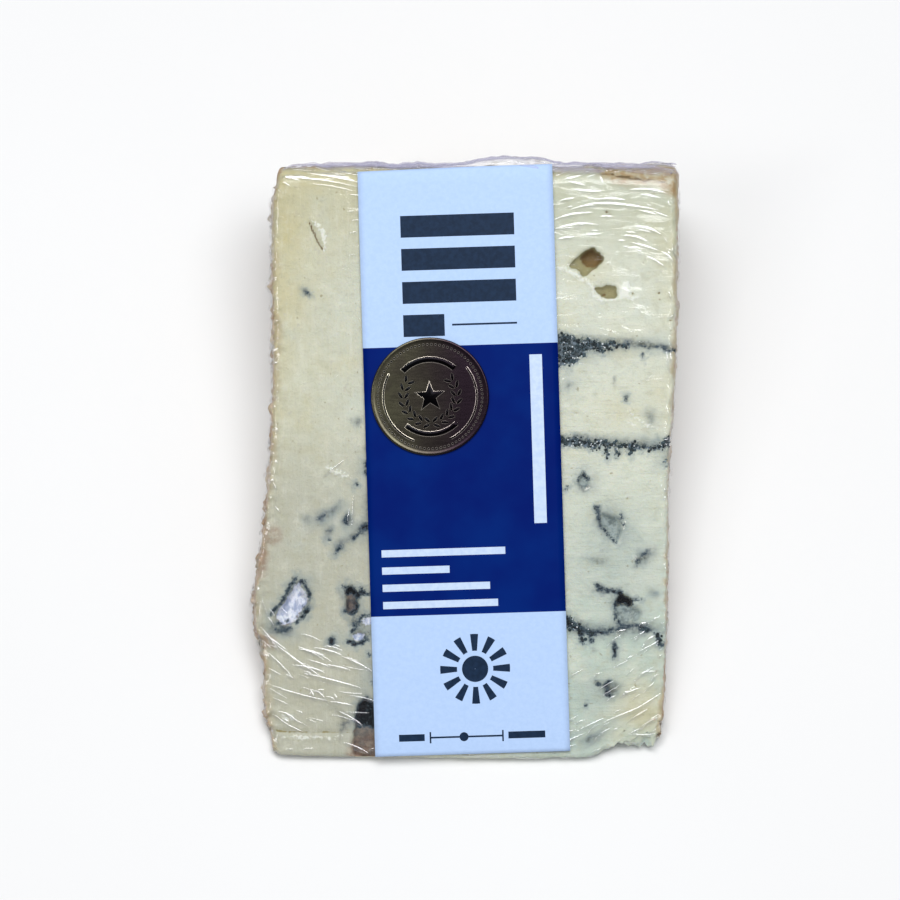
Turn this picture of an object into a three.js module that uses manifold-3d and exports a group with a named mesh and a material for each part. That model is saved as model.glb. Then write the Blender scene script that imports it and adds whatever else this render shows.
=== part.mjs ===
// A wedge of blue cheese cut from a small wheel, wrapped in clear film, with a paper label and a round foil seal.
// Units are millimetres and +Z is up. The wedge lies on one cut face, and the label is on the other one.
// +Y runs from the thin nose to the thick rind, and X runs through the wheel from one flat rind to the other.
import * as THREE from "three";
import { mergeVertices } from "three/addons/utils/BufferGeometryUtils.js";
import Module from "manifold-3d";

// The cheese.
const wheelRadius = 100; // from the line where the two cut faces would meet, out to the curved rind
const noseRadius = 5.3; // the blunt nose is this far from that line
const wedgeAngle = THREE.MathUtils.degToRad(19);
const noseRound = 0.9; // edge radius at the nose, which grows to rindRound at the rind
const rindRound = 2.8;
// Each flat rind as [distance from the line where the cut faces meet, X].
const leftRind = [[5, -31.6], [14, -33.0], [21, -33.2], [28, -34.7], [39, -33.6], [50, -32.4], [67, -31.7], [93, -31.9], [100, -30.6]];
const rightRind = [[5, 30.5], [17, 31.2], [33, 31.7], [53, 32.0], [67, 33.0], [100, 33.5]];
// Eyes and pockets that open on the labelled cut face: X, distance from that line, half sizes, depth and turn in degrees.
const pockets = [
  { x: 19.0, along: 84.6, halfX: 2.7, halfY: 2.2, depth: 3.2, turn: 35 },
  { x: 21.6, along: 79.8, halfX: 1.9, halfY: 1.2, depth: 2.6, turn: 0 },
  { x: -28.4, along: 29.5, halfX: 2.0, halfY: 4.6, depth: 1.9, turn: -32 },
  { x: 24.4, along: 30.0, halfX: 1.2, halfY: 1.3, depth: 2.4, turn: 0 },
  { x: -16.6, along: 9.8, halfX: 2.2, halfY: 3.4, depth: 0.9, turn: -12 },
];

// The wrapping. Each layer keeps a small gap to the one below it.
const gap = 0.15;
const filmThickness = 0.3;
const labelWidth = 31.2;
const labelLength = 94;
const labelThickness = 0.2;
const labelCentre = [-1.0, 52.6]; // X, and distance from the line where the cut faces meet
const labelTurn = THREE.MathUtils.degToRad(1.75);
const sealRadius = 9.45;
const sealThickness = 0.2;
const sealEase = 0.06; // the bevel round its top edge
const sealCentre = [-6.4, 62.8];
const seamWidth = 1.2; // the slit where the film's two ends meet on the back
const seamLength = 62;
const seamX = 13;

// How finely the surfaces are cut: steps across each rounded half edge, and across the rest each way.
const roundSteps = 3;
const steps = { across: 7, along: 15, around: 5 };

const wasm = await Module();
wasm.setup();

// A smooth line through stations [at, value], as a cubic with Catmull-Rom slopes.
function follow(stations, at) {
  const last = stations.length - 1;
  const place = THREE.MathUtils.clamp(at, stations[0][0], stations[last][0]);
  const i = Math.min(stations.findLastIndex(([station]) => station <= place), last - 1);
  const slope = (k) => {
    const [before, after] = [stations[Math.max(k - 1, 0)], stations[Math.min(k + 1, last)]];
    return (after[1] - before[1]) / (after[0] - before[0]);
  };
  const [[start, from], [end, to]] = [stations[i], stations[i + 1]];
  const span = end - start;
  const t = (place - start) / span;
  const ease = t * t * (3 - 2 * t);
  return from + (to - from) * ease
    + span * t * (1 - t) * ((1 - t) * slope(i) - t * slope(i + 1));
}

// One axis of the block that becomes the wedge, from -1 to 1. The end steps make the rounded edges: core is where
// the step starts from inside the rounding, from 0 to 1, and lean is how far the surface has turned towards that end.
function endRounded(a, flatSteps) {
  const n = flatSteps + 2 * roundSteps;
  const i = Math.round(((a + 1) / 2) * n);
  const past = Math.max(0, roundSteps - Math.min(i, n - i));
  return {
    core: THREE.MathUtils.clamp((i - roundSteps) / flatSteps, 0, 1),
    lean: Math.sign(a) * Math.tan(((past / roundSteps) * Math.PI) / 4),
  };
}

// The wedge with every face moved outwards by grow. Each point of a block is carried to the shrunken wedge inside the
// rounding, and from there out along the faces' normals, so each grown wedge is parallel to the others.
function wedgeGeometry(grow) {
  const { across, along, around } = steps;
  const block = new THREE.BoxGeometry(2, 2, 2, ...[across, along, around].map((s) => s + 2 * roundSteps));
  const position = block.getAttribute("position");
  const frontNormal = new THREE.Vector3(0, -Math.sin(wedgeAngle), Math.cos(wedgeAngle));
  const backNormal = new THREE.Vector3(0, 0, -1);
  const noseNormal = new THREE.Vector3(0, -Math.cos(wedgeAngle / 2), -Math.sin(wedgeAngle / 2));
  for (let i = 0; i < position.count; i++) {
    const side = endRounded(position.getX(i), across);
    const out = endRounded(position.getY(i), along);
    const lift = endRounded(position.getZ(i), around);
    const round = THREE.MathUtils.lerp(noseRound, rindRound, out.core);
    const radius = THREE.MathUtils.lerp(noseRadius + noseRound, wheelRadius - rindRound, out.core);
    const inset = Math.asin(round / radius);
    const angle = THREE.MathUtils.lerp(inset, wedgeAngle - inset, lift.core);
    const x = THREE.MathUtils.lerp(follow(leftRind, radius) + round, follow(rightRind, radius) - round, side.core);
    const radial = new THREE.Vector3(0, Math.cos(angle), Math.sin(angle));
    const normal = new THREE.Vector3(side.lean, 0, 0)
      .addScaledVector(out.lean > 0 ? radial : noseNormal, Math.abs(out.lean))
      .addScaledVector(lift.lean > 0 ? frontNormal : backNormal, Math.abs(lift.lean))
      .normalize();
    const point = new THREE.Vector3(x, radius * radial.y, radius * radial.z).addScaledVector(normal, round + grow);
    position.setXYZ(i, point.x, point.y, point.z);
  }
  return block;
}

// A closed geometry as a manifold-3d solid, which takes positions only.
function solidOf(geometry) {
  const bare = geometry.clone();
  bare.deleteAttribute("normal");
  bare.deleteAttribute("uv");
  const merged = mergeVertices(bare, 1e-4);
  return new wasm.Manifold(new wasm.Mesh({
    numProp: 3,
    vertProperties: merged.getAttribute("position").array,
    triVerts: new Uint32Array(merged.index.array),
  }));
}

// A manifold-3d solid as a geometry with flat-shaded faces.
function geometryOf(solid) {
  const { vertProperties, triVerts } = solid.getMesh();
  const indexed = new THREE.BufferGeometry()
    .setAttribute("position", new THREE.BufferAttribute(vertProperties, 3))
    .setIndex(new THREE.BufferAttribute(triVerts, 1));
  const flat = indexed.toNonIndexed();
  flat.computeVertexNormals();
  return flat;
}

function material(color, roughness, metalness = 0) {
  return new THREE.MeshStandardMaterial({ color, roughness, metalness });
}

function named(name, geometry, look) {
  const mesh = new THREE.Mesh(geometry, look);
  mesh.name = name;
  return mesh;
}

// The labelled cut face as a frame: X across, Y along the face away from the nose, Z straight out of it.
const cutFace = new THREE.Matrix4().makeRotationX(wedgeAngle);

// A pocket is an egg that is sunk into the cut face with its widest part at the surface.
function pocketGeometry({ x, along, halfX, halfY, depth, turn }) {
  return new THREE.SphereGeometry(1, 16, 10)
    .scale(halfX, halfY, depth)
    .rotateZ(THREE.MathUtils.degToRad(turn))
    .translate(x, along, 0)
    .applyMatrix4(cutFace);
}

function cheese() {
  const block = pockets.reduce(
    (solid, pocket) => solid.subtract(solidOf(pocketGeometry(pocket))),
    solidOf(wedgeGeometry(0)),
  );
  return named("cheese", geometryOf(block), material(0xe2dfc4, 0.45));
}

// The film goes all the way round and is open only at the slit on the back, where its ends meet.
function filmWrap() {
  const shell = solidOf(wedgeGeometry(gap + filmThickness)).subtract(solidOf(wedgeGeometry(gap)));
  const slit = new THREE.BoxGeometry(seamWidth, seamLength, 3)
    .translate(seamX, (noseRadius + wheelRadius) / 2, 0);
  const film = material(0xf2f5f8, 0.08);
  film.transparent = true;
  film.opacity = 0.25;
  return named("film_wrap", geometryOf(shell.subtract(solidOf(slit))), film);
}

// A thin piece is laid flat on the cut face, at this height above the cheese.
function layOnCutFace(mesh, [x, along], height, turn) {
  const laid = new THREE.Group();
  laid.rotation.x = wedgeAngle;
  mesh.position.set(x, along, height);
  mesh.rotation.z = turn;
  return laid.add(mesh);
}

function label() {
  const sheet = new THREE.BoxGeometry(labelWidth, labelLength, labelThickness, 2, 6, 1);
  const above = gap + filmThickness + gap + labelThickness / 2;
  return layOnCutFace(named("front_label", sheet, material(0xd9e6fb, 0.4)), labelCentre, above, labelTurn);
}

// The seal is a foil disc whose top edge is eased.
function seal() {
  const profile = [
    [0, 0],
    [sealRadius, 0],
    [sealRadius, sealThickness - sealEase],
    [sealRadius - sealEase, sealThickness],
    [0, sealThickness],
  ].map(([r, h]) => new THREE.Vector2(r, h));
  const disc = new THREE.LatheGeometry(profile, 48).rotateX(Math.PI / 2);
  const above = gap + filmThickness + gap + labelThickness + gap;
  return layOnCutFace(named("foil_seal", disc, material(0x4a453c, 0.25, 1)), sealCentre, above, labelTurn);
}

const wedge = new THREE.Group();
wedge.add(cheese(), filmWrap(), label(), seal());

// The origin is in the middle of the footprint, on the surface that the wedge lies on.
const bounds = new THREE.Box3().setFromObject(wedge, true);
const middle = bounds.getCenter(new THREE.Vector3());
wedge.position.set(-middle.x, -middle.y, -bounds.min.z);

export default wedge;
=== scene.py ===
# A wedge of blue cheese in clear film, with a paper label and a foil seal, lying on a pale table.
# Lengths are in millimetres on the wedge's own axes until a mesh is made, and the meshes are in metres.
import math
import random

import bpy
import numpy as np
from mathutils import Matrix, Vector, noise


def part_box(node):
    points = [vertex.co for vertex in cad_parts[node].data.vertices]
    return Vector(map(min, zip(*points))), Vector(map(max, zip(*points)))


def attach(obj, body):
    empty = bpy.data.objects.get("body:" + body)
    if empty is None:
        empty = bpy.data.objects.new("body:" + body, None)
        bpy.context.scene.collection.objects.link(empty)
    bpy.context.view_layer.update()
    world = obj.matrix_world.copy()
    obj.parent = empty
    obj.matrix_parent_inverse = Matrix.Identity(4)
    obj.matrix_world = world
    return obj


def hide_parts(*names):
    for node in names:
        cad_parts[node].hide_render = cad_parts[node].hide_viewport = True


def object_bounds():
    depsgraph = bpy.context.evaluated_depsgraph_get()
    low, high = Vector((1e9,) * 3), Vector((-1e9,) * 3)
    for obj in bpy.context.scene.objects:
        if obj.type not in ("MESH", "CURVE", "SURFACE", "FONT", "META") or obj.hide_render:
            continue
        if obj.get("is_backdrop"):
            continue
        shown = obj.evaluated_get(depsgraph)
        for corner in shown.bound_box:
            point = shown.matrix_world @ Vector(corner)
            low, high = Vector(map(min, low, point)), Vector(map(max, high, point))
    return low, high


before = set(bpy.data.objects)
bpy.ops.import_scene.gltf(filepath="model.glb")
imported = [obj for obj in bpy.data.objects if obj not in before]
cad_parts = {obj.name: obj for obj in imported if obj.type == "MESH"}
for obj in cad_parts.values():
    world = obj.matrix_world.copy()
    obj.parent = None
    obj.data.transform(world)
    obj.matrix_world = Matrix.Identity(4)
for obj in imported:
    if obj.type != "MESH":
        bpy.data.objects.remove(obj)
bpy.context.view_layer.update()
mm = 0.001
print("frame loaded")

# the wedge's shape, as the wheel was made and cut
form = {
    "wheelRadius": 100.0,  # from the line where the cut faces would meet, out to the curved rind
    "noseRadius": 5.3,
    "wedgeAngle": math.radians(19),
    "noseRound": 0.9,
    "rindRound": 2.8,
    "sideRound": 0.4,  # the edges at the flat rinds are this many times as wide as they are deep
    "leftRind": [(5, -31.6), (14, -33.0), (21, -33.2), (28, -34.7), (39, -33.6), (50, -32.4), (67, -31.7),
                 (93, -31.9), (100, -30.6)],  # distance from that line, and X
    "rightRind": [(5, 30.5), (17, 31.2), (33, 31.7), (53, 32.0), (67, 33.0), (100, 33.5)],
    "worn": [(-36, 2.2), (-33, 1.2), (-31.6, 0.9), (-30.2, 0.1), (-10, -0.2), (18, -0.3), (20.4, 0.2),
             (21.8, 1.2), (24, 1.8), (28, 2.2), (29.8, 2.9), (31.5, 4.6), (34, 6.0)],  # X, and how far back
    "wornFrom": 13.0,  # the nose is worn inside this distance from that line
    "wornFully": 5.0,
}
xAxis = np.array([1.0, 0, 0])
faceUp = np.array([0, math.cos(form["wedgeAngle"]), math.sin(form["wedgeAngle"])])  # up the labelled face
faceOut = np.array([0, -math.sin(form["wedgeAngle"]), math.cos(form["wedgeAngle"])])  # straight out of it


# --- meshes from arrays

def follow(stations, at):  # a smooth line through stations, with Catmull-Rom slopes
    place, value = np.array(stations, float).T
    last = len(place) - 1
    before, after = np.maximum(np.arange(last + 1) - 1, 0), np.minimum(np.arange(last + 1) + 1, last)
    slope = (value[after] - value[before]) / (place[after] - place[before])
    at = np.clip(at, place[0], place[-1])
    i = np.clip(np.searchsorted(place, at, side="right") - 1, 0, last - 1)
    span = place[i + 1] - place[i]
    t = (at - place[i]) / span
    ease = t * t * (3 - 2 * t)
    bend = span * t * (1 - t) * ((1 - t) * slope[i] - t * slope[i + 1])
    return value[i] + (value[i + 1] - value[i]) * ease + bend


def smooth(low, high, value):
    t = np.clip((value - low) / (high - low), 0, 1)
    return t * t * (3 - 2 * t)


def grain(points, size, seed=0):  # soft noise from about -0.7 to 0.7, with lumps about this many mm across
    places = np.asarray(points) / size + 31.7 * seed
    return np.array([noise.noise(p) for p in places.tolist()])


def axisSteps(stretches, roundSteps):  # each stretch is where it ends, from 0 to 1, and its number of steps
    core = [0.0]
    for end, count in stretches:
        core += list(np.linspace(core[-1], end, count + 1)[1:])
    turn = np.tan(np.arange(roundSteps, 0, -1) / roundSteps * math.pi / 4)
    lean = np.concatenate([-turn, np.zeros(len(core)), turn[::-1]])
    return np.concatenate([np.zeros(roundSteps), core, np.ones(roundSteps)]), lean


def gridQuads(number):  # the cells of a grid of point numbers
    return np.stack([number[:-1, :-1], number[1:, :-1], number[1:, 1:], number[:-1, 1:]], -1).reshape(-1, 4)


def blockSurface(shape):  # the outside of a lattice: each point's three step numbers, and quads facing out
    outside = np.ones(shape, bool)
    outside[1:-1, 1:-1, 1:-1] = False
    number = np.cumsum(outside).reshape(shape) - 1
    quads = []
    for axis in range(3):
        for end in (0, -1):
            side = np.take(number, end, axis=axis)
            loops = gridQuads(side)
            quads.append(loops[:, ::-1] if (end == 0) != (axis == 1) else loops)
    return np.argwhere(outside), np.concatenate(quads)


def wedgeSurface(axes, grow):  # the wedge with its faces moved out by grow: points, normals and quads
    steps, quads = blockSurface([len(core) for core, lean in axes])
    (side, sideLean), (out, outLean), (lift, liftLean) = [
        (core[steps[:, i]], lean[steps[:, i]]) for i, (core, lean) in enumerate(axes)]
    roundness = form["noseRound"] + (form["rindRound"] - form["noseRound"]) * out
    first, last = form["noseRadius"] + form["noseRound"], form["wheelRadius"] - form["rindRound"]
    radius = first + (last - first) * out
    inset = np.arcsin(roundness / radius)
    angle = inset + (form["wedgeAngle"] - 2 * inset) * lift
    narrow = roundness * form["sideRound"]
    left, right = follow(form["leftRind"], radius) + narrow, follow(form["rightRind"], radius) - narrow
    radial = np.stack([0 * angle, np.cos(angle), np.sin(angle)], 1)
    middle = form["wedgeAngle"] / 2
    noseOut = np.array([0, -math.cos(middle), -math.sin(middle)])
    normal = sideLean[:, None] * xAxis
    normal = normal + np.abs(outLean)[:, None] * np.where(outLean[:, None] > 0, radial, noseOut)
    normal = normal + np.abs(liftLean)[:, None] * np.where(liftLean[:, None] > 0, faceOut, [0, 0, -1.0])
    normal /= np.linalg.norm(normal, axis=1, keepdims=True)
    points = radius[:, None] * radial + (left + (right - left) * side)[:, None] * xAxis
    points = points + normal * (roundness + grow)[:, None]
    points[:, 0] -= normal[:, 0] * (roundness - narrow)
    return points, normal, quads


def wearNose(points, crumble):  # moves the nose back where it is worn
    near = smooth(form["wornFrom"], form["wornFully"], points @ faceUp)
    back = follow(form["worn"], points[:, 0])
    return points + (near * back * (1 + crumble))[:, None] * faceUp


def faceCoordinates(points):  # X, distance from the line where the cut faces meet, and height above the face
    return points[:, 0], points @ faceUp, points @ faceOut


def onFace(x, along, height=0.0):
    x, along, height = np.broadcast_arrays(np.asarray(x, float), along, height)
    return x[..., None] * xAxis + along[..., None] * faceUp + height[..., None] * faceOut


# the wedge's own axes lie in the frame where the CAD cheese's box says
coarse = wedgeSurface([axisSteps([(1, 8)], 3), axisSteps([(1, 40)], 3), axisSteps([(1, 6)], 3)], 0)[0]
cheeseLow, cheeseHigh = [np.array(corner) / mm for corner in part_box("cheese")]
shift = (cheeseLow + cheeseHigh) / 2 - (coarse.min(0) + coarse.max(0)) / 2


def toFrame(points):
    return (np.asarray(points) + shift) * mm


def linked(name, data):  # a new object in the scene
    made = bpy.data.objects.new(name, data)
    bpy.context.scene.collection.objects.link(made)
    return made


def addAttribute(mesh, name, values):  # one number for each point, or three
    values = np.asarray(values, np.float32)
    kind, key = ("FLOAT", "value") if values.ndim == 1 else ("FLOAT_VECTOR", "vector")
    mesh.attributes.new(name, kind, "POINT").data.foreach_set(key, values.ravel())


def meshObject(name, points, faces, materials, shadeSmooth=True, attributes=None, uv=None):
    mesh = bpy.data.meshes.new(name)
    if isinstance(faces, np.ndarray):
        faces = faces.tolist()
    mesh.from_pydata(toFrame(points).tolist(), [], faces)
    for label, values in (attributes or {}).items():
        addAttribute(mesh, label, values)
    if uv is not None:  # one pair of numbers for each point
        layer = mesh.uv_layers.new(name="UVMap")
        corners = np.empty(len(mesh.loops), np.int32)
        mesh.loops.foreach_get("vertex_index", corners)
        layer.data.foreach_set("uv", np.asarray(uv, np.float32)[corners].ravel())
    for material in materials:
        mesh.materials.append(material)
    mesh.polygons.foreach_set("use_smooth", [shadeSmooth] * len(mesh.polygons))
    mesh.update()
    return linked(name, mesh)


def guideObject(name, points, edges, attributes):  # bare points and lines that a geometry tree works on
    mesh = bpy.data.meshes.new(name + "_guide")
    mesh.from_pydata(toFrame(points).tolist(), edges, [])
    for label, values in attributes.items():
        addAttribute(mesh, label, values)
    return linked(name + "_guide", mesh)


def addWall(piece, thickness):  # gives a sheet its thickness, inwards
    wall = piece.modifiers.new("wall", "SOLIDIFY")
    wall.thickness = thickness * mm
    wall.offset = -1


# --- node trees, for materials and for geometry

class Tree:
    def __init__(self, tree):
        self.nodes, self.links = tree.nodes, tree.links

    def add(self, kind, inputs=None, **settings):  # an input is a socket to link or a value to set
        node = self.nodes.new(kind)
        for key, value in settings.items():
            setattr(node, key, value)
        for key, value in (inputs or {}).items():
            if isinstance(value, bpy.types.NodeSocket):
                self.links.new(value, node.inputs[key])
            else:
                node.inputs[key].default_value = value
        return node

    def math(self, operation, a, b=0.0, clamp=False):
        return self.add("ShaderNodeMath", {0: a, 1: b}, operation=operation, use_clamp=clamp).outputs[0]

    def product(self, a, b):
        return self.math("MULTIPLY", a, b)

    def step(self, value, low, high, toLow=0.0, toHigh=1.0):  # a soft step between low and high
        made = self.add("ShaderNodeMapRange", {
            "Value": value, "From Min": low, "From Max": high, "To Min": toLow, "To Max": toHigh},
            interpolation_type="SMOOTHSTEP")
        return made.outputs["Result"]

    def shake(self, value, low, high):  # noise as an amount from low to high
        return self.step(value, 0.3, 0.7, low, high)

    def mix(self, factor, a, b, blend="MIX"):
        made = self.add("ShaderNodeMix", {0: factor, 6: a, 7: b}, data_type="RGBA", blend_type=blend)
        return made.outputs[2]

    def tints(self, base, *layers):  # each layer is a value, where it starts and is full, strength and shade
        for value, low, high, strength, shade in layers:
            base = self.mix(self.step(value, low, high, 0.0, strength), base, colour(*shade))
        return base

    def noise(self, vector, scale, detail=3.0, roughness=0.55, distortion=0.0):
        made = self.add("ShaderNodeTexNoise", {"Vector": vector, "Scale": scale, "Detail": detail,
                                               "Roughness": roughness, "Distortion": distortion})
        return made.outputs["Fac"]

    def attribute(self, name):
        return self.add("ShaderNodeAttribute", attribute_name=name).outputs["Fac"]

    def stretched(self, scale, turn=(0, 0, 0)):  # Object coordinates in metres, stretched and turned
        coordinates = self.add("ShaderNodeTexCoord").outputs["Object"]
        made = self.add("ShaderNodeMapping", {"Vector": coordinates, "Rotation": turn, "Scale": scale})
        return made.outputs["Vector"]

    def millimetres(self):  # the Object coordinates in millimetres
        return self.stretched((1000, 1000, 1000))

    def split(self, vector):
        return self.add("ShaderNodeSeparateXYZ", {0: vector}).outputs

    def bump(self, height, distance, strength=1.0, normal=None):
        inputs = {"Height": height, "Distance": distance, "Strength": strength}
        if normal is not None:
            inputs["Normal"] = normal
        return self.add("ShaderNodeBump", inputs).outputs["Normal"]


def newMaterial(name, kind=Tree):
    material = bpy.data.materials.new(name)
    material.use_nodes = True
    material.node_tree.nodes.clear()
    return material, kind(material.node_tree)


def finishMaterial(tree, inputs, cover=None):  # one coat, which covers clear film by the given amount
    coat = tree.add("ShaderNodeBsdfPrincipled", inputs).outputs[0]
    if cover is not None:
        clear = tree.add("ShaderNodeBsdfTransparent", {"Color": (1, 1, 1, 1)}).outputs[0]
        coat = tree.add("ShaderNodeMixShader", {0: cover, 1: clear, 2: coat}).outputs[0]
    tree.add("ShaderNodeOutputMaterial", {"Surface": coat})


def colour(red, green, blue):  # a screen colour from 0 to 255, as the linear colour that the nodes take
    def linear(c):
        c /= 255
        return c / 12.92 if c <= 0.04045 else ((c + 0.055) / 1.055) ** 2.4
    return (linear(red), linear(green), linear(blue), 1.0)


# --- marks on the labelled face, each as [X, distance from the cut faces' meeting line]

def roundedOutline(outline, each=5):  # a closed smooth line through the points
    corners = np.array(outline, float)
    t = (np.arange(each) / each)[:, None]
    made = []
    for i in range(len(corners)):
        a, b, c, d = (corners[(i + k - 1) % len(corners)] for k in range(4))
        made.append(0.5 * (2 * b + (c - a) * t + (2 * a - 5 * b + 4 * c - d) * t ** 2
                           + (3 * b - a - 3 * c + d) * t ** 3))
    return np.concatenate(made)


def segmentDistance(spots, starts, ends):  # each spot's distance to every segment, and how far along it is
    run = ends - starts
    t = np.einsum("psk,sk->ps", spots[:, None] - starts[None], run) / np.maximum((run ** 2).sum(1), 1e-9)
    t = np.clip(t, 0, 1)
    gap = spots[:, None] - (starts[None] + t[..., None] * run[None])
    return np.sqrt((gap ** 2).sum(2)), t


class Marks:  # fields over a set of spots: how deep inside the nearest mark each spot is, in mm
    def __init__(self, spots, reach=4.0):
        self.spots, self.reach = spots, reach

    def blank(self):
        return np.full(len(self.spots), -self.reach)

    def near(self, corners, margin):
        low, high = corners.min(0) - margin, corners.max(0) + margin
        return np.where(((self.spots > low) & (self.spots < high)).all(1))[0]

    def patch(self, field, outline):  # a filled outline
        edge = roundedOutline(outline)
        near = self.near(edge, self.reach)
        spots = self.spots[near]
        starts, ends = edge, np.roll(edge, -1, 0)
        distance = segmentDistance(spots, starts, ends)[0].min(1)
        crosses = (starts[None, :, 1] > spots[:, None, 1]) != (ends[None, :, 1] > spots[:, None, 1])
        rise = np.where(starts[:, 1] == ends[:, 1], 1e-9, ends[:, 1] - starts[:, 1])
        at = starts[:, 0] + (spots[:, None, 1] - starts[None, :, 1]) / rise * (ends[:, 0] - starts[:, 0])
        inside = (crosses & (spots[:, None, 0] < at)).sum(1) % 2 == 1
        field[near] = np.maximum(field[near], np.where(inside, distance, -distance))

    def filled(self, outline):  # how deep inside one outline each spot is
        field = self.blank()
        self.patch(field, outline)
        return field

    def vein(self, field, path, half):  # a line with a half width, or one at each point
        path = np.array(path, float)
        half = np.broadcast_to(np.asarray(half, float), len(path))
        if len(path) == 1:
            path, half = np.repeat(path, 2, 0), np.repeat(half, 2)
        near = self.near(path, self.reach)
        distance, t = segmentDistance(self.spots[near], path[:-1], path[1:])
        width = half[:-1][None] + (half[1:] - half[:-1])[None] * t
        field[near] = np.maximum(field[near], (width - distance).max(1))

    def haze(self, field, x, along, halfX, halfAlong, turn, strength):  # a soft cloud that adds up to 1
        cosine, sine = math.cos(math.radians(turn)), math.sin(math.radians(turn))
        dx, da = self.spots[:, 0] - x, self.spots[:, 1] - along
        far = ((dx * cosine + da * sine) / halfX) ** 2 + ((da * cosine - dx * sine) / halfAlong) ** 2
        field[:] = 1 - (1 - field) * (1 - strength * np.exp(-far * 1.2))


eyes = [  # holes that gas made, with their depths
    {"outline": [(15.8, 83.6), (16.1, 84.4), (17.0, 85.2), (17.6, 85.7), (18.4, 86.4), (19.3, 86.5),
                 (20.1, 86.4), (20.8, 85.9), (21.3, 84.5), (20.3, 83.3), (19.3, 82.5), (18.6, 82.0),
                 (17.8, 82.0), (16.9, 83.0)],
     "depth": 1.0, "wall": 0.45},
    {"outline": [(17.3, 85.1), (17.8, 85.6), (18.5, 86.3), (19.3, 86.5), (20.1, 86.4), (20.8, 85.9),
                 (21.3, 84.5), (20.7, 83.8), (20.1, 83.3), (19.1, 83.4), (18.1, 83.8), (17.6, 84.5)],
     "depth": 2.9, "wall": 0.5},
    {"outline": [(19.9, 80.4), (20.9, 80.5), (21.8, 80.7), (22.7, 80.6), (23.5, 80.2), (23.3, 78.8),
                 (22.6, 78.7), (20.8, 78.8), (20.3, 79.4)],
     "depth": 1.15, "wall": 0.45},
    {"outline": [(20.4, 79.4), (21.4, 79.3), (22.5, 79.3), (23.4, 79.5), (23.3, 78.8), (22.6, 78.7),
                 (21.4, 78.6), (20.8, 78.8)],
     "depth": 2.2, "wall": 0.4},
    {"outline": [(25.3, 81.0), (25.6, 80.5), (25.8, 79.5), (26.0, 79.0), (26.3, 79.0), (26.1, 79.8),
                 (25.8, 80.5)],
     "depth": 0.8, "wall": 0.3},
    {"outline": [(23.8, 31.4), (24.8, 30.8), (26.0, 30.3), (25.8, 29.1), (24.6, 29.4), (23.6, 29.5)],
     "depth": 2.8, "wall": 0.35},
]
hollows = [  # shallow pockets, whose floors are painted darker: partly the colour of what grows in them, partly painted shade
    {"outline": [(-27.6, 33.4), (-26.6, 31.6), (-25.8, 30.2), (-26.8, 28.2), (-28.6, 26.4), (-30.0, 25.8),
                 (-31.5, 27.4), (-30.7, 28.9), (-29.6, 30.5)], "depth": 1.5, "wall": 0.9},
    {"outline": [(-20.2, 31.8), (-19.1, 32.5), (-18.3, 31.9), (-17.4, 31.0), (-18.0, 30.2), (-17.9, 28.9),
                 (-18.6, 27.8), (-19.8, 27.9), (-20.0, 29.3)], "depth": 1.3, "wall": 0.8},
    {"outline": [(-18.9, 24.5), (-17.9, 25.1), (-16.8, 24.6), (-17.1, 23.8), (-18.2, 23.6)], "depth": 0.8,
     "wall": 0.4},
    {"outline": [(-17.2, 14.6), (-15.2, 13.4), (-14.6, 9.5), (-14.6, 5.4), (-18.8, 5.4), (-18.7, 9.9),
                 (-18.4, 12.2)],
     "depth": 0.9, "wall": 0.7},
    {"outline": [(23.2, 29.3), (24.6, 29.6), (26.4, 29.3), (27.7, 28.2), (26.9, 26.8), (24.8, 26.2),
                 (23.3, 27.2)],
     "depth": 0.75, "wall": 0.7},
    {"outline": [(18.1, 50.6), (19.0, 49.2), (18.6, 48.4), (17.2, 48.7)], "depth": 0.8, "wall": 0.4},
    {"outline": [(20.4, 44.9), (21.4, 44.2), (23.8, 43.6), (24.4, 42.6), (24.3, 41.2), (23.3, 39.4),
                 (21.7, 40.7), (20.9, 42.3)], "depth": 0.8, "wall": 0.9},
]
bandPatches = [  # thick blue-green mould in the piercing channels, which stands in grains
    [(13.4, 72.4), (16.3, 72.4), (17.5, 71.6), (18.9, 72.1), (20.2, 71.7), (21.4, 71.3), (22.8, 71.7),
     (23.4, 71.0), (22.6, 70.6), (21.6, 70.3), (21.2, 69.5), (20.5, 70.1), (19.2, 70.2), (18.5, 69.5),
     (17.2, 69.1), (16.8, 68.2), (15.0, 67.6), (13.4, 67.9)],
]
bandVeins = [  # path and half width
    ([(23.2, 71.0), (24.2, 70.9), (25.3, 70.9)], [0.5, 0.25, 0.1]),
    ([(13.6, 55.5), (15.4, 55.5), (17.0, 55.6), (18.6, 55.1), (20.0, 55.0), (21.3, 55.4), (22.3, 54.9),
      (23.4, 55.0), (24.6, 54.8), (26.0, 54.8), (27.6, 54.6), (29.6, 54.5), (30.8, 54.9), (32.0, 55.6),
      (33.0, 55.6)],
     [0.62, 0.68, 0.6, 0.55, 0.62, 0.42, 0.3, 0.34, 0.24, 0.5, 0.38, 0.28, 0.34, 0.7, 0.85]),
    ([(21.9, 54.7), (22.0, 53.6), (21.9, 53.0)], [0.1, 0.3, 0.12]),
    ([(23.3, 54.7), (23.5, 53.9), (23.5, 53.5)], [0.08, 0.28, 0.1]),
    ([(25.5, 54.4), (25.7, 53.9)], 0.16), ([(31.4, 52.3)], 0.3),
    ([(13.6, 27.2), (15.6, 26.8), (16.6, 26.0), (17.4, 25.5), (18.6, 25.3), (19.5, 25.0)],
     [0.95, 0.8, 0.6, 0.4, 0.1, 0.3]),
    ([(27.2, 25.8), (27.9, 25.5), (28.4, 25.4)], [0.1, 0.35, 0.1]),
    ([(17.6, 25.2), (17.9, 23.6)], 0.3), ([(27.9, 25.5)], 0.3), ([(30.0, 24.6), (30.3, 23.2)], [0.2, 0.5]),
]
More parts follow.
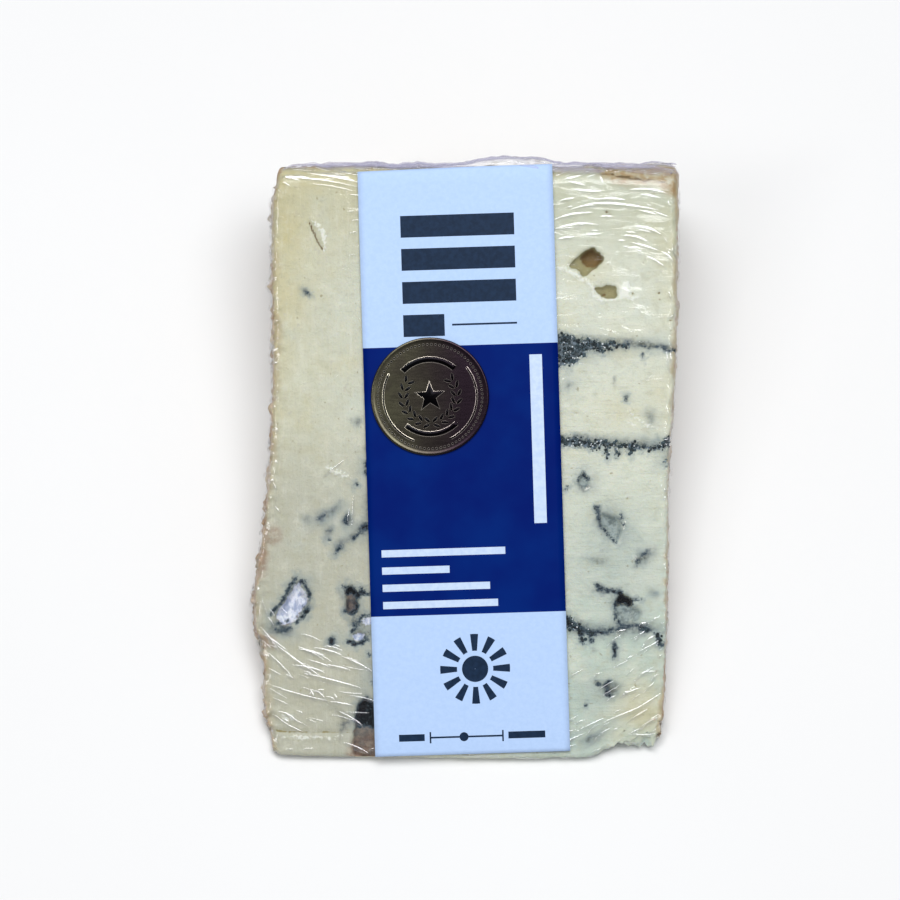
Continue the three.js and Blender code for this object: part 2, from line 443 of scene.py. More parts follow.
darkPatches = [  # smooth dark mould and shadowed hollows
    [(23.8, 31.4), (24.8, 30.8), (26.0, 30.3), (25.8, 29.1), (24.6, 29.4), (23.6, 29.5)],
    [(-20.1, 31.8), (-19.1, 32.5), (-18.3, 31.9), (-17.4, 31.0), (-18.1, 30.5), (-19.0, 30.9),
     (-19.7, 30.9)],
    [(-18.3, 29.9), (-17.8, 29.0), (-18.5, 27.9), (-19.7, 28.0), (-18.6, 28.7)],
    [(-17.2, 14.5), (-15.2, 13.3), (-14.6, 9.6), (-16.6, 9.9), (-18.4, 10.2), (-18.4, 12.2)],
]
veins = [
    ([(13.6, 27.2), (15.6, 26.8), (16.6, 26.0), (17.4, 25.5), (18.6, 25.3), (19.5, 25.0), (21.4, 25.1),
      (23.5, 25.6), (24.9, 26.0), (26.6, 26.1), (27.9, 25.5), (29.3, 25.4), (30.0, 24.6), (30.3, 23.2)],
     [0.85, 0.75, 0.5, 0.44, 0.2, 0.46, 0.26, 0.12, 0.26, 0.1, 0.42, 0.08, 0.2, 0.5]),
    ([(17.6, 25.2), (17.9, 23.6)], 0.32), ([(19.5, 24.9), (19.4, 23.6)], 0.26),
    ([(20.4, 16.8)], 0.3), ([(22.2, 17.1), (21.6, 16.3), (21.8, 15.3), (22.6, 14.9)],
                            [0.24, 0.34, 0.4, 0.24]),
    ([(-19.8, 43.5), (-19.7, 42.6)], 0.26), ([(-17.8, 41.0), (-16.7, 42.0)], [0.2, 0.42]),
    ([(-21.3, 38.0), (-20.6, 39.0)], 0.16), ([(-24.3, 43.1), (-23.2, 43.8)], 0.1),
    ([(-18.8, 40.1), (-18.0, 40.8)], 0.16), ([(-22.8, 41.3), (-22.3, 41.6)], 0.04),
    ([(26.8, 70.9), (28.9, 70.8), (30.8, 70.6), (31.8, 70.2), (33.6, 70.0)], [0.02, 0.06, 0.16, 0.16, 0.3]),
    ([(23.5, 29.8), (23.0, 28.4), (23.3, 27.0), (24.6, 26.1)], [0.22, 0.12, 0.16, 0.26]),
    ([(24.3, 30.6), (24.9, 30.0), (25.4, 29.7)], [0.4, 0.55, 0.4]),
    ([(20.2, 32.6), (21.0, 32.0), (22.3, 31.7), (23.9, 31.5)], [0.24, 0.28, 0.22, 0.3]),
    ([(20.6, 31.7), (22.3, 31.6)], 0.14),
    ([(25.8, 30.4), (27.4, 30.2)], 0.15),
    ([(17.8, 51.2), (18.1, 50.4), (18.6, 49.8), (18.95, 49.4)], [0.06, 0.26, 0.28, 0.1]),
    ([(17.9, 50.4), (17.4, 49.8), (17.1, 49.2)], [0.1, 0.02, 0.04]),
    ([(20.3, 45.1), (20.4, 44.4)], 0.26),
    ([(20.5, 44.2), (20.7, 42.9), (21.1, 41.9), (21.8, 40.9), (22.6, 40.2), (23.4, 39.3)],
     [0.12, 0.16, 0.04, 0.16, 0.24, 0.1]),
    ([(24.2, 43.9), (24.4, 43.0), (24.6, 42.2)], [0.06, 0.14, 0.06]),
    ([(26.9, 36.2)], 0.34), ([(27.5, 37.2), (28.1, 37.9)], 0.12), ([(15.4, 48.2)], 0.22),
    ([(23.1, 23.3), (23.2, 22.0), (23.1, 20.9)], [0.1, 0.28, 0.15]),
    ([(18.4, 13.5)], 0.2), ([(27.6, 69.6), (27.7, 69.2)], 0.1), ([(24.9, 62.8), (25.0, 62.4)], 0.08),
    ([(-26.6, 79.7), (-26.1, 79.4), (-25.6, 79.0)], [0.0, 0.06, 0.02]),
    ([(-16.4, 51.9)], 0.5), ([(-16.6, 50.6)], 0.3),
    ([(-18.2, 48.6)], 0.24), ([(-22.8, 39.9)], 0.16), ([(-21.6, 37.7), (-21.2, 38.2)], 0.15),
    ([(-27.8, 33.8), (-28.4, 33.1), (-29.1, 31.9), (-29.9, 30.5), (-31.3, 28.7), (-32.1, 27.8)],
     [0.3, 0.26, 0.3, 0.2, 0.26, 0.1]),
    ([(-26.9, 33.2), (-26.1, 31.7), (-25.7, 30.4)], [0.34, 0.24, 0.2]),
    ([(-25.9, 29.2), (-26.4, 28.0), (-27.7, 26.8)], [0.22, 0.26, 0.3]),
    ([(-31.6, 25.9), (-30.6, 25.4), (-29.7, 25.3), (-28.6, 25.8)], [0.1, 0.2, 0.26, 0.1]),
    ([(-29.4, 26.9)], 0.24), ([(-30.6, 26.3)], 0.3), ([(-28.3, 28.7)], 0.1), ([(-26.6, 29.3)], 0.12),
    ([(-17.8, 26.5), (-17.2, 27.8), (-15.7, 27.9)], 0.18), ([(-18.6, 26.1)], 0.3),
    ([(-16.3, 25.0), (-16.5, 24.1), (-17.3, 23.4), (-18.3, 23.1), (-19.7, 23.6)],
     [0.3, 0.3, 0.34, 0.42, 0.24]),
    ([(-20.2, 32.4), (-19.6, 31.4)], 0.3), ([(-17.5, 32.0), (-17.1, 31.2)], 0.24), ([(-19.9, 28.6)], 0.3),
    ([(-18.9, 24.9), (-18.3, 25.9), (-18.9, 26.9)], [0.2, 0.26, 0.16]),
    ([(-22.0, 23.9), (-22.2, 23.3)], 0.36), ([(-16.1, 21.5)], 0.36), ([(-15.4, 17.2)], 0.5),
    ([(-15.9, 31.2)], 0.16),
]
smears = [  # X, along, half sizes, turn and strength of soft blue-grey and olive growth inside the paste
    (15.8, 64.6, 0.5, 0.35, 0, 0.7), (23.1, 65.3, 0.3, 0.9, 0, 0.5), (24.95, 62.6, 0.22, 0.6, 0, 0.7),
    (20.0, 63.1, 0.4, 0.3, 0, 0.3), (27.65, 69.4, 0.35, 0.5, 0, 0.6), (28.9, 59.5, 0.7, 1.1, 0, 0.55),
    (23.3, 60.3, 0.25, 0.15, 0, 0.5), (29.8, 70.9, 3.0, 0.5, -8, 0.9), (25.6, 71.3, 3.0, 0.75, -4, 0.95),
    (16.0, 70.6, 3.5, 2.2, 0, 0.6), (21.0, 71.0, 3.2, 1.2, -8, 0.8), (18.0, 55.9, 4.6, 0.8, -2, 0.8),
    (26.0, 55.1, 5.2, 0.75, -1, 0.8), (17.0, 26.0, 3.6, 1.2, -14, 0.8), (26.0, 25.9, 4.6, 0.9, 0, 0.8),
    (29.4, 31.3, 0.7, 0.4, 0, 0.6), (18.4, 48.4, 1.3, 0.6, -10, 0.8), (20.9, 42.6, 0.6, 1.8, 15, 0.9),
    (22.6, 16.0, 1.2, 1.2, 0, 0.8), (24.0, 30.0, 1.6, 1.5, 0, 0.7), (20.9, 32.1, 1.0, 0.6, -20, 0.8),
    (-19.0, 29.3, 1.3, 1.5, 0, 0.85), (-18.1, 26.9, 1.1, 1.0, 0, 0.7),
    (-26.15, 79.4, 1.05, 0.34, -31, 0.98), (22.4, 42.6, 1.6, 1.9, 25, 0.5), (20.6, 43.8, 0.35, 1.0, 0, 0.6),
    (23.6, 41.7, 0.8, 0.9, 30, 0.4), (18.0, 48.1, 0.8, 0.6, -30, 0.7), (17.6, 49.4, 0.5, 0.7, 0, 0.5),
    (27.9, 37.2, 2.0, 0.75, 40, 0.9), (20.4, 36.6, 1.9, 0.7, -10, 0.5), (25.0, 28.0, 1.6, 1.4, 0, 0.5),
    (21.5, 31.8, 2.0, 0.7, 0, 0.5), (22.0, 25.2, 7.0, 0.8, 0, 0.5), (23.2, 22.2, 0.4, 1.5, 0, 0.6),
    (22.3, 16.1, 1.2, 1.1, 0, 0.6), (20.0, 22.1, 0.5, 0.4, 0, 0.4), (19.2, 8.1, 1.6, 0.6, 20, 0.7),
    (20.4, 16.8, 0.7, 0.5, 0, 0.6), (31.6, 53.6, 0.7, 1.4, 0, 0.5), (16.4, 60.2, 2.5, 0.5, 0, 0.12),
    (-23.6, 43.5, 1.2, 0.75, 30, 0.8), (-21.7, 44.8, 1.1, 0.5, 28, 0.6), (-26.2, 43.3, 0.8, 0.6, 0, 0.4),
    (-22.6, 41.2, 0.8, 0.6, 40, 0.7), (-19.75, 43.0, 0.7, 1.0, 0, 0.95), (-17.1, 41.6, 1.3, 1.1, 40, 0.95),
    (-18.8, 40.2, 0.9, 0.7, 30, 0.8), (-20.8, 38.9, 1.2, 0.8, 45, 0.75), (-21.5, 37.8, 0.6, 0.45, 30, 0.6),
    (-18.1, 58.7, 0.7, 0.5, 0, 0.6), (-16.4, 51.4, 0.9, 1.2, 0, 0.7),
    (-16.2, 45.0, 0.9, 3.0, 0, 0.45), (-16.6, 54.6, 0.6, 0.8, 0, 0.5),
    (-29.4, 30.6, 0.5, 2.6, -36, 0.6), (-25.9, 30.8, 0.6, 1.8, 10, 0.6), (-30.3, 25.2, 2.1, 0.7, -8, 0.9),
    (-29.6, 25.6, 1.0, 0.6, -8, 0.8), (-31.3, 26.6, 1.0, 0.8, 30, 0.5),
    (-18.8, 30.2, 1.1, 1.9, 0, 0.6), (-17.4, 26.0, 1.5, 1.9, 0, 0.5), (-22.1, 23.6, 0.7, 0.6, 0, 0.7),
    (-16.6, 12.0, 1.7, 2.9, 0, 0.6), (-15.8, 19.0, 0.6, 1.6, 0, 0.6), (-21.0, 12.4, 1.4, 0.5, -25, 0.4),
    (-20.6, 9.6, 0.6, 1.6, 0, 0.5), (-19.9, 10.6, 0.9, 1.1, 0, 0.6),
]
chalkPatches = [  # white mould
    [(-27.6, 33.2), (-26.7, 31.6), (-26.0, 30.2), (-26.9, 28.5), (-28.6, 26.7), (-30.0, 26.1),
     (-31.3, 27.5), (-30.6, 28.9), (-29.5, 30.4)],
    [(-17.5, 26.5), (-16.8, 27.6), (-15.7, 27.4), (-15.8, 26.4), (-16.8, 26.1)],
    [(-18.9, 24.5), (-17.9, 25.0), (-16.9, 24.6), (-17.1, 23.9), (-18.2, 23.7)],
]
stains = [  # where the rind reaches over onto the face, and how strongly it shows
    ([(20.6, 99.6), (20.9, 98.4), (23.0, 97.2), (26.0, 96.7), (29.4, 96.9), (31.8, 95.4), (34.0, 94.8),
      (34.4, 99.6)], 0.85),
    ([(13.4, 100.0), (13.8, 98.2), (16.4, 98.8), (20.8, 98.9), (20.8, 100.0)], 0.5),
    ([(-34.4, 42.6), (-32.4, 42.4), (-30.7, 42.0), (-30.2, 40.6), (-30.8, 39.4), (-32.6, 39.0),
      (-34.6, 39.4)], 0.5),
    ([(-35.4, 39.0), (-33.0, 39.0), (-32.5, 36.6), (-33.0, 34.2), (-35.4, 34.0)], 0.7),
    ([(-34.8, 24.6), (-32.0, 24.3), (-31.4, 23.2), (-32.6, 22.4), (-34.4, 22.2)], 0.7),
    ([(-19.0, 7.4), (-16.0, 8.8), (-14.4, 8.2), (-14.4, 5.0), (-19.2, 5.0)], 0.8),
]
palePatches = [  # torn white lips of paste, painted white partly as a highlight where they catch the light
    [(23.7, 79.8), (24.2, 80.8), (25.2, 81.2), (25.6, 79.6), (26.1, 78.8), (26.8, 79.2), (26.9, 78.5),
     (25.5, 78.2), (23.7, 78.4)],
]
paleVeins = [  # thin white growth and lips of paste beside the holes, the lips painted white partly as a highlight
    ([(13.8, 83.5), (15.2, 83.3), (16.3, 82.7), (17.3, 81.9), (18.5, 81.6), (19.4, 80.9), (19.75, 79.8),
      (20.2, 78.7), (21.2, 78.3), (22.8, 78.3), (23.6, 78.7)],
     [0.22, 0.3, 0.34, 0.3, 0.26, 0.3, 0.24, 0.22, 0.18, 0.16, 0.2]),
    ([(24.9, 60.9), (26.4, 59.6), (28.6, 58.3), (30.2, 57.7)], [0.05, 0.12, 0.12, 0.05]),
    ([(25.4, 58.6), (27.6, 58.0), (29.4, 57.9)], 0.06),
    ([(24.9, 42.7), (24.6, 42.0)], 0.12), ([(19.1, 48.3), (18.5, 47.9)], 0.1),
    ([(26.2, 37.0), (26.8, 36.6)], 0.2),
    ([(-22.9, 51.5), (-21.8, 50.9), (-20.4, 50.3), (-18.9, 49.8)], [0.2, 0.4, 0.3, 0.15]),
    ([(-25.4, 91.6), (-24.7, 90.6), (-23.7, 89.2), (-23.25, 87.6), (-23.3, 86.2)],
     [0.1, 0.26, 0.34, 0.26, 0.1]),
    ([(-30.4, 8.2), (-27.0, 8.3), (-23.0, 8.2), (-20.0, 8.4)], [0.1, 0.26, 0.2, 0.05]),
    ([(-30.4, 11.6), (-29.2, 11.2), (-28.0, 11.5)], [0.2, 0.4, 0.2]),
]
creams = [  # crack lines that show only as a brown edge
    ([(-25.7, 90.6), (-25.1, 89.2), (-24.5, 87.5), (-23.4, 86.1)], [0.2, 0.26, 0.26, 0.2]),
    ([(-30.9, 9.0), (-28.0, 9.1), (-24.0, 9.0), (-19.0, 9.2)], [0.24, 0.2, 0.18, 0.1]),
    ([(20.8, 98.7), (23.2, 98.3), (25.6, 97.8), (28.0, 97.5), (31.6, 97.1)], [0.1, 0.26, 0.34, 0.26, 0.2]),
    ([(21.2, 92.85), (21.9, 92.3), (22.6, 92.0)], [0.1, 0.24, 0.18]),
    ([(27.7, 84.2)], 0.22), ([(30.3, 79.3)], 0.24), ([(32.06, 75.2)], 0.24), ([(26.4, 66.5)], 0.18),
    ([(-18.0, 90.4)], 0.24), ([(16.9, 60.3), (17.4, 60.2)], 0.14), ([(20.0, 92.0)], 0.1),
]
hazes = [  # X, along, half sizes, turn in degrees and strength of the blue-grey cast round old veins
    (18.0, 70.5, 6.5, 2.6, -3, 0.45), (28.5, 71.0, 6.0, 1.5, -2, 0.62), (21.5, 55.6, 9.0, 1.5, -2, 0.4),
    (29.5, 55.6, 3.6, 1.3, 0, 0.7), (18.2, 49.6, 2.2, 2.4, 0, 0.62), (22.4, 42.6, 2.4, 3.2, 15, 0.75),
    (25.2, 41.0, 1.6, 2.6, 25, 0.4), (27.6, 37.2, 1.9, 1.6, 40, 0.6), (25.0, 28.4, 3.0, 2.6, 0, 0.5),
    (21.5, 25.3, 9.0, 1.5, 0, 0.5), (29.5, 31.3, 1.3, 0.9, 0, 0.75), (22.4, 16.1, 1.8, 1.5, 0, 0.75),
    (20.0, 15.4, 3.6, 3.4, 20, 0.35), (22.5, 37.0, 8.0, 9.0, 0, 0.32), (20.0, 8.4, 3.4, 1.7, 20, 0.5),
    (16.0, 64.6, 1.6, 1.4, 0, 0.45), (28.9, 59.6, 1.3, 1.7, 20, 0.5), (15.5, 66.0, 2.0, 4.0, 0, 0.25),
    (23.3, 22.2, 1.0, 2.0, 0, 0.5), (30.5, 52.5, 1.8, 2.0, 0, 0.35), (25.0, 62.5, 0.8, 1.0, 0, 0.4),
    (-23.2, 43.5, 2.4, 1.3, 25, 0.8), (-21.2, 45.1, 1.8, 0.8, 28, 0.6), (-26.2, 43.0, 1.2, 1.6, 0, 0.35),
    (-22.6, 41.2, 1.1, 0.9, 0, 0.6), (-19.8, 42.2, 1.3, 2.4, 0, 0.5), (-20.9, 38.9, 1.5, 1.2, 45, 0.75),
    (-17.3, 41.4, 2.0, 1.6, 40, 0.75), (-16.5, 46.0, 1.5, 6.0, 0, 0.3), (-16.6, 51.6, 1.6, 2.2, 0, 0.6),
    (-26.1, 79.4, 1.4, 1.1, 0, 0.3), (-18.1, 58.7, 1.0, 0.9, 0, 0.5), (-26.4, 33.0, 1.7, 1.6, 0, 0.6),
    (-29.2, 29.0, 3.3, 4.6, -35, 0.35), (-30.2, 25.2, 2.8, 1.3, -10, 0.65),
    (-18.8, 30.3, 2.0, 3.0, 0, 0.35), (-17.2, 25.2, 2.4, 3.0, 0, 0.5), (-21.4, 24.2, 1.5, 1.3, 20, 0.55),
    (-16.4, 18.5, 1.8, 5.0, 0, 0.4), (-17.6, 11.0, 2.0, 4.4, 0, 0.35), (-31.5, 90.0, 1.0, 3.0, 0, 0.2),
]
warmths = [  # where the paste is yellower, near the rind and at the ends
    (-31.0, 84.0, 6.0, 22.0, 0, 0.75), (-24.0, 97.5, 12.0, 2.4, 0, 0.5), (-33.5, 60.0, 3.0, 26.0, 0, 0.7),
    (-29.5, 13.5, 6.0, 8.0, 0, 0.6), (27.5, 12.0, 5.5, 6.5, 20, 0.85), (31.5, 86.0, 3.0, 14.0, 0, 0.4),
    (30.5, 64.0, 3.0, 5.0, 0, 0.3), (22.5, 60.0, 4.0, 4.0, 0, 0.2), (-22.0, 20.0, 6.0, 6.0, 0, 0.35),
    (-32.4, 23.8, 1.1, 1.0, 0, 0.9), (17.0, 84.0, 4.0, 2.4, 0, 0.15),
]
marksOnFace = {  # for each field, its filled outlines and its lines with their half widths
    "dark": (darkPatches, veins), "band": (bandPatches, bandVeins), "chalk": (chalkPatches, []),
    "pale": (palePatches, paleVeins), "crack": ([], creams),
}
cloudsOnFace = {"smoke": hazes, "warm": warmths, "smear": smears}


# --- the cheese

cheeseLook = {
    "roundSteps": 5,
    "across": [(0.26, 54), (0.73, 26), (1.0, 60)],  # close steps where the label leaves the face bare
    "along": [(1.0, 246)],
    "around": [(1.0, 14)],
    "wobble": 0.3,  # how far marks wander from their outlines
    "grainHeight": 0.07,
    "veinDepth": 0.3,
    "crackDepth": 0.45,
    "lipHeight": 0.18,
    "rindHeight": 0.45,
    "rindLumps": [(3.2, 8, 1.0), (1.4, 9, 0.75), (0.75, 17, 0.55)],  # size, seed and share
    "needlePitch": (15.0, 14.0),  # between the needle holes in the flat rinds, along Y and Z
    "backSeed": 11,
    "backChannels": (24.5, 40.0, 55.0, 70.5, 85.5),  # where the needles' channels lie on the lower cut face
    "backRuns": [(-33, 8), (-12, 33), (-33, 33), (-2, 33)],  # the X that a channel shows between
    "backSpots": 56,
}


def rindDepth(points):  # how far each point of the surface is from the wheel's three rinds
    x, radius = points[:, 0], np.hypot(points[:, 1], points[:, 2])
    side = np.minimum(x - follow(form["leftRind"], radius), follow(form["rightRind"], radius) - x)
    outer = form["wheelRadius"] - radius
    across, along = [np.maximum(1 - depth / width, 0) for depth, width in (
        (side, form["rindRound"] * form["sideRound"]), (outer, form["rindRound"]))]
    # the round edge of the wheel, and far off anywhere else
    corner = np.where((across > 0) & (along > 0), 1.6 * (1 - np.hypot(across, along)), 9)
    return np.minimum(np.minimum(side, outer), corner)


def otherFaceMarks(points, fields):  # veins on the lower cut face, which lies at height 0
    below = np.where((points[:, 2] < 0.9) & (points[:, 1] > 9))[0]
    lower = Marks(points[below, :2])
    channels, spots, haze, soft = lower.blank(), lower.blank(), np.zeros(len(below)), np.zeros(len(below))
    random.seed(cheeseLook["backSeed"])
    for level in cheeseLook["backChannels"]:
        start, end = random.choice(cheeseLook["backRuns"])
        count = int((end - start) / 2)
        path = [(start + (end - start) * i / count, level + random.uniform(-0.4, 0.4))
                for i in range(count + 1)]
        lower.vein(channels, path, [random.uniform(-0.1, 0.75) for p in path])
        lower.haze(haze, (start + end) / 2, level + 0.5, (end - start) / 2, 1.9, 0, 0.6)
    for i in range(cheeseLook["backSpots"]):
        x, along = random.uniform(-30, 30), random.uniform(11, 94)
        turn, size = random.uniform(0, math.pi), random.uniform(0.2, 1.3)
        spot, step = np.array([x, along]), np.array([math.cos(turn), math.sin(turn)]) * size
        lower.vein(spots, [spot - step, spot, spot + step * 0.7], [0.05, random.uniform(0.05, 0.4), 0.05])
        lower.haze(soft, x, along, 0.5 + size * 0.7, 0.6, math.degrees(turn), 0.6)
        lower.haze(haze, x, along, size + 1, size + 0.8, 0, 0.45)
    for name, made in (("band", channels), ("dark", spots), ("smoke", haze), ("smear", soft)):
        fields[name][below] = np.maximum(fields[name][below], made)


def rindLumps(points, skin):  # how far the rind bulges, which the film over it follows
    lumps = sum(share * grain(points, size, seed) for size, seed, share in cheeseLook["rindLumps"])
    leftward = smooth(-26, -31, points[:, 0])
    radius = np.hypot(points[:, 1], points[:, 2])
    cutBack = 0.9 * smooth(95.5, 99.5, radius) + np.exp(-((radius - 8.4) / 0.8) ** 2)
    bulge = cheeseLook["rindHeight"] * (0.8 + 0.8 * leftward) * lumps
    return smooth(1.2, 0.1, skin) * (bulge - leftward * cutBack)


def faceFields(marks, upper):  # the marks on the labelled face, as fields of one number for each point
    fields = {}
    for name, (patches, lines) in marksOnFace.items():
        fields[name] = marks.blank()
        for outline in patches:
            marks.patch(fields[name], outline)
        for path, half in lines:
            marks.vein(fields[name], path, half)
        fields[name][~upper] = -marks.reach
    for name in ("smoke", "warm", "smear", "sunk", "hollow", "stain"):
        fields[name] = np.zeros(len(upper))
    for name, clouds in cloudsOnFace.items():
        for cloud in clouds:
            marks.haze(fields[name], *cloud)
    for eye in eyes:
        inside = marks.filled(eye["outline"])
        depth = eye["depth"] * smooth(-0.1, eye["wall"], inside)
        fields["sunk"] = np.maximum(fields["sunk"], depth * (0.82 + 0.18 * np.clip(inside, 0, 1)))
    for pocket in hollows:
        depth = pocket["depth"] * smooth(-0.15, pocket["wall"], marks.filled(pocket["outline"]))
        fields["hollow"] = np.maximum(fields["hollow"], depth)
    for outline, strength in stains:
        shown = strength * smooth(-0.9, 0.7, marks.filled(outline))
        fields["stain"] = np.maximum(fields["stain"], shown)
    for name in ("smoke", "warm", "smear", "sunk", "hollow", "stain"):
        fields[name][~upper] = 0
    return fields


def cheeseRelief(points, fields):  # how far the surface stands out of the plain wedge
    fine = grain(points, 0.9, 5) + 0.5 * grain(points, 0.42, 6)
    crumbs = smooth(0.1, 0.5, grain(points, 2.0, 10) + 0.3 * grain(points, 0.8, 12))
    bite = smooth(0.0, 0.45, grain(points, 1.5, 15) + 0.5 * grain(points, 0.6, 16))
    edge = np.exp(-(fields["skin"] / 1.6) ** 2) * np.where(points[:, 0] < 0, 1.0, 0.35)
    mould = np.maximum(fields["dark"], fields["band"])
    raised = 0.2 * grain(points, 14, 7)
    raised += cheeseLook["grainHeight"] * fine * (1 + 2.5 * smooth(-1.0, 0.3, fields["band"]))
    raised += rindLumps(points, fields["skin"]) - edge * (0.6 * crumbs + 0.5 * bite)
    raised -= fields["sunk"] + fields["hollow"]
    raised -= cheeseLook["veinDepth"] * smooth(-0.15, 0.35, mould)
    raised -= cheeseLook["crackDepth"] * smooth(-0.2, 0.25, fields["crack"])
    raised += cheeseLook["lipHeight"] * smooth(-0.2, 0.3, fields["pale"])
    return raised


def makeCheese(material):
    axes = [axisSteps(cheeseLook[k], cheeseLook["roundSteps"]) for k in ("across", "along", "around")]
    points, normal, quads = wedgeSurface(axes, 0)
    x, along, height = faceCoordinates(points)
    upper = (normal @ faceOut > 0.35) & (height > -3.5)
    wander = np.stack([grain(points, 1.3, 1) + 0.4 * grain(points, 0.5, 2),
                       grain(points, 1.3, 3) + 0.4 * grain(points, 0.5, 4)], 1)
    fields = faceFields(Marks(np.stack([x, along], 1) + wander * cheeseLook["wobble"]), upper)
    otherFaceMarks(points, fields)
    fields["skin"] = rindDepth(points)
    raised = cheeseRelief(points, fields)
    lower = normal[:, 2] < -0.9
    raised[lower] = np.minimum(raised[lower], 0.05)  # the wedge lies flat
    direction = normal.copy()
    direction[upper] = faceOut
    crumble = 0.5 * grain(points, 1.3, 13) + 0.3 * grain(points, 0.6, 14)
    points = wearNose(points + direction * raised[:, None], crumble)
    return meshObject("cheese_wedge", points, quads, [material], attributes=fields)


class CheeseTree(Tree):  # with the places and noises that the cheese's colours share
    def __init__(self, tree):
        super().__init__(tree)
        self.point = self.millimetres()
        self.place = self.split(self.point)
        self.leftToRight = self.step(self.place["X"], -4, 4)
        self.blotch = self.speck(0.14, 4, 0.6)
        self.speckle = self.speck(2.6, 4, 0.7)
        self.crumb = self.speck(1.0, 5, 0.65)
        # drag marks of the wire run across on the right and up the face on the left
        across = self.noise(self.stretched((110, 900, 900)), 1, 4, 0.65, 0.5)
        upward = self.noise(self.stretched((1100, 130, 130)), 1, 4, 0.65, 0.5)
        self.drag = self.mix(self.leftToRight, upward, across)

    def speck(self, scale, detail=3.0, roughness=0.55, distortion=0.0):  # noise, with this many lumps to a mm
        return self.noise(self.point, scale, detail, roughness, distortion)

    def ragged(self, field, value, low, high):  # a field whose edge noise moves by low to high
        return self.math("ADD", self.attribute(field), self.shake(value, low, high))

    def cloud(self, field, value, low, high):  # a field whose strength noise changes
        return self.math("MULTIPLY", self.attribute(field), self.shake(value, low, high), clamp=True)


def plainPaste(tree):  # ivory, yellower near the rind and cooler towards the nose, with painted shade darkening it towards the top
    x, y = tree.place["X"], tree.place["Y"]
    warm = tree.math("ADD", tree.attribute("warm"), tree.step(tree.blotch, 0.5, 0.75, 0.0, 0.35), clamp=True)
    ivory = tree.mix(tree.step(x, -26, 20), colour(208, 210, 190), colour(219, 223, 206))
    paste = tree.mix(warm, ivory, colour(206, 198, 154))
    # painted shade: the paste is made darker towards the top of the face, near the rind end
    top = tree.mix(tree.step(x, -6, 6), colour(192, 184, 136), colour(184, 188, 160))
    paste = tree.mix(tree.product(tree.step(y, 22, 38), tree.step(x, -6, 6, 0.4, 0.6)), paste, top)
    cool = tree.product(tree.step(y, 5, -36), tree.step(x, -2, 20, 0.12, 0.8))
    cool = tree.product(cool, tree.math("SUBTRACT", 1.0, warm))
    cool = tree.product(cool, tree.step(tree.blotch, 0.35, 0.6, 0.35, 1.0))
    paste = tree.mix(cool, paste, colour(184, 205, 195))
    greyer = tree.product(tree.step(y, 8, -12), tree.step(x, 0, -12, 0.0, 0.85))
    paste = tree.mix(greyer, paste, colour(188, 188, 170))
    curd = tree.speck(0.5, 5, 0.7)
    return tree.tints(
        paste,
        (tree.blotch, 0.5, 0.25, 0.3, (203, 214, 206)),
        (tree.drag, 0.52, 0.74, 0.2, (238, 240, 228)), (tree.drag, 0.46, 0.26, 0.1, (178, 180, 156)),
        (curd, 0.5, 0.68, 0.38, (232, 232, 214)), (curd, 0.48, 0.32, 0.3, (178, 176, 146)),
        (tree.speckle, 0.56, 0.72, 0.25, (242, 240, 224)), (tree.speckle, 0.44, 0.28, 0.2, (168, 162, 126)),
        (tree.speck(1.1, 2, 0.5), 0.70, 0.76, 0.6, (150, 138, 92)))


def addGrowth(tree, paste):  # the blue-grey cast round the veins, soft growth in the paste and torn lips, whose white is partly a painted highlight
    near = tree.math("MAXIMUM", tree.attribute("dark"), tree.attribute("band"))
    near = tree.math("ADD", near, tree.shake(tree.crumb, -0.5, 0.5))
    cloud = tree.cloud("smoke", tree.crumb, 0.6, 1.2)
    halo = tree.math("MAXIMUM", cloud, tree.step(near, -1.3, 0.1, 0.0, 0.6))
    paste = tree.mix(halo, paste, colour(144, 160, 162))
    growth = tree.mix(tree.step(tree.speck(0.22, 2), 0.4, 0.6), colour(52, 68, 86), colour(74, 80, 68))
    paste = tree.mix(tree.cloud("smear", tree.speck(1.3, 4, 0.7), 0.4, 1.35), paste, growth)
    # white growth, and lips painted white partly as a highlight where they catch the light
    whiteLipsAndHighlight = tree.ragged("pale", tree.speck(2.2, 5, 0.75), -0.42, 0.32)
    return tree.tints(paste, (whiteLipsAndHighlight, -0.12, 0.16, 0.8, (240, 243, 234)))


def rindColour(tree):  # brown, with grey and pale bloom and needle holes
    patches = tree.speck(0.22, 5, 0.66, 0.4)
    bark = tree.mix(tree.step(patches, 0.34, 0.66), colour(160, 126, 98), colour(202, 182, 156))
    bark = tree.tints(
        bark,
        (tree.speck(0.11, 5, 0.7, 0.5), 0.42, 0.66, 0.85, (210, 205, 196)),
        (tree.speck(0.5, 5, 0.75), 0.56, 0.72, 0.8, (116, 122, 122)),
        (tree.speckle, 0.5, 0.7, 0.5, (224, 218, 208)), (tree.speckle, 0.42, 0.3, 0.5, (104, 78, 62)))
    # needle holes: a grey ring of bloom round each, and a dark centre that is painted shade inside the hole,
    # which is not cut
    halfY, halfZ = [pitch / 2 for pitch in cheeseLook["needlePitch"]]
    loose = tree.shake(tree.blotch, -2.0, 2.0)
    gridY = tree.math("PINGPONG", tree.math("ADD", tree.place["Y"], loose), halfY)
    gridZ = tree.math("SUBTRACT", tree.place["Z"], tree.math("ADD", loose, halfZ))
    gridZ = tree.math("PINGPONG", gridZ, halfZ)
    away = tree.math("SQRT", tree.math("ADD", tree.product(gridY, gridY), tree.product(gridZ, gridZ)))
    away = tree.math("ADD", away, tree.shake(tree.crumb, -0.4, 0.4))
    flat = tree.step(tree.math("ABSOLUTE", tree.place["X"]), 28.5, 30.0)
    bark = tree.mix(tree.product(flat, tree.step(away, 2.6, 0.8, 0.0, 0.7)), bark, colour(150, 156, 152))
    return tree.mix(tree.product(flat, tree.step(away, 0.8, 0.5)), bark, colour(44, 42, 40))


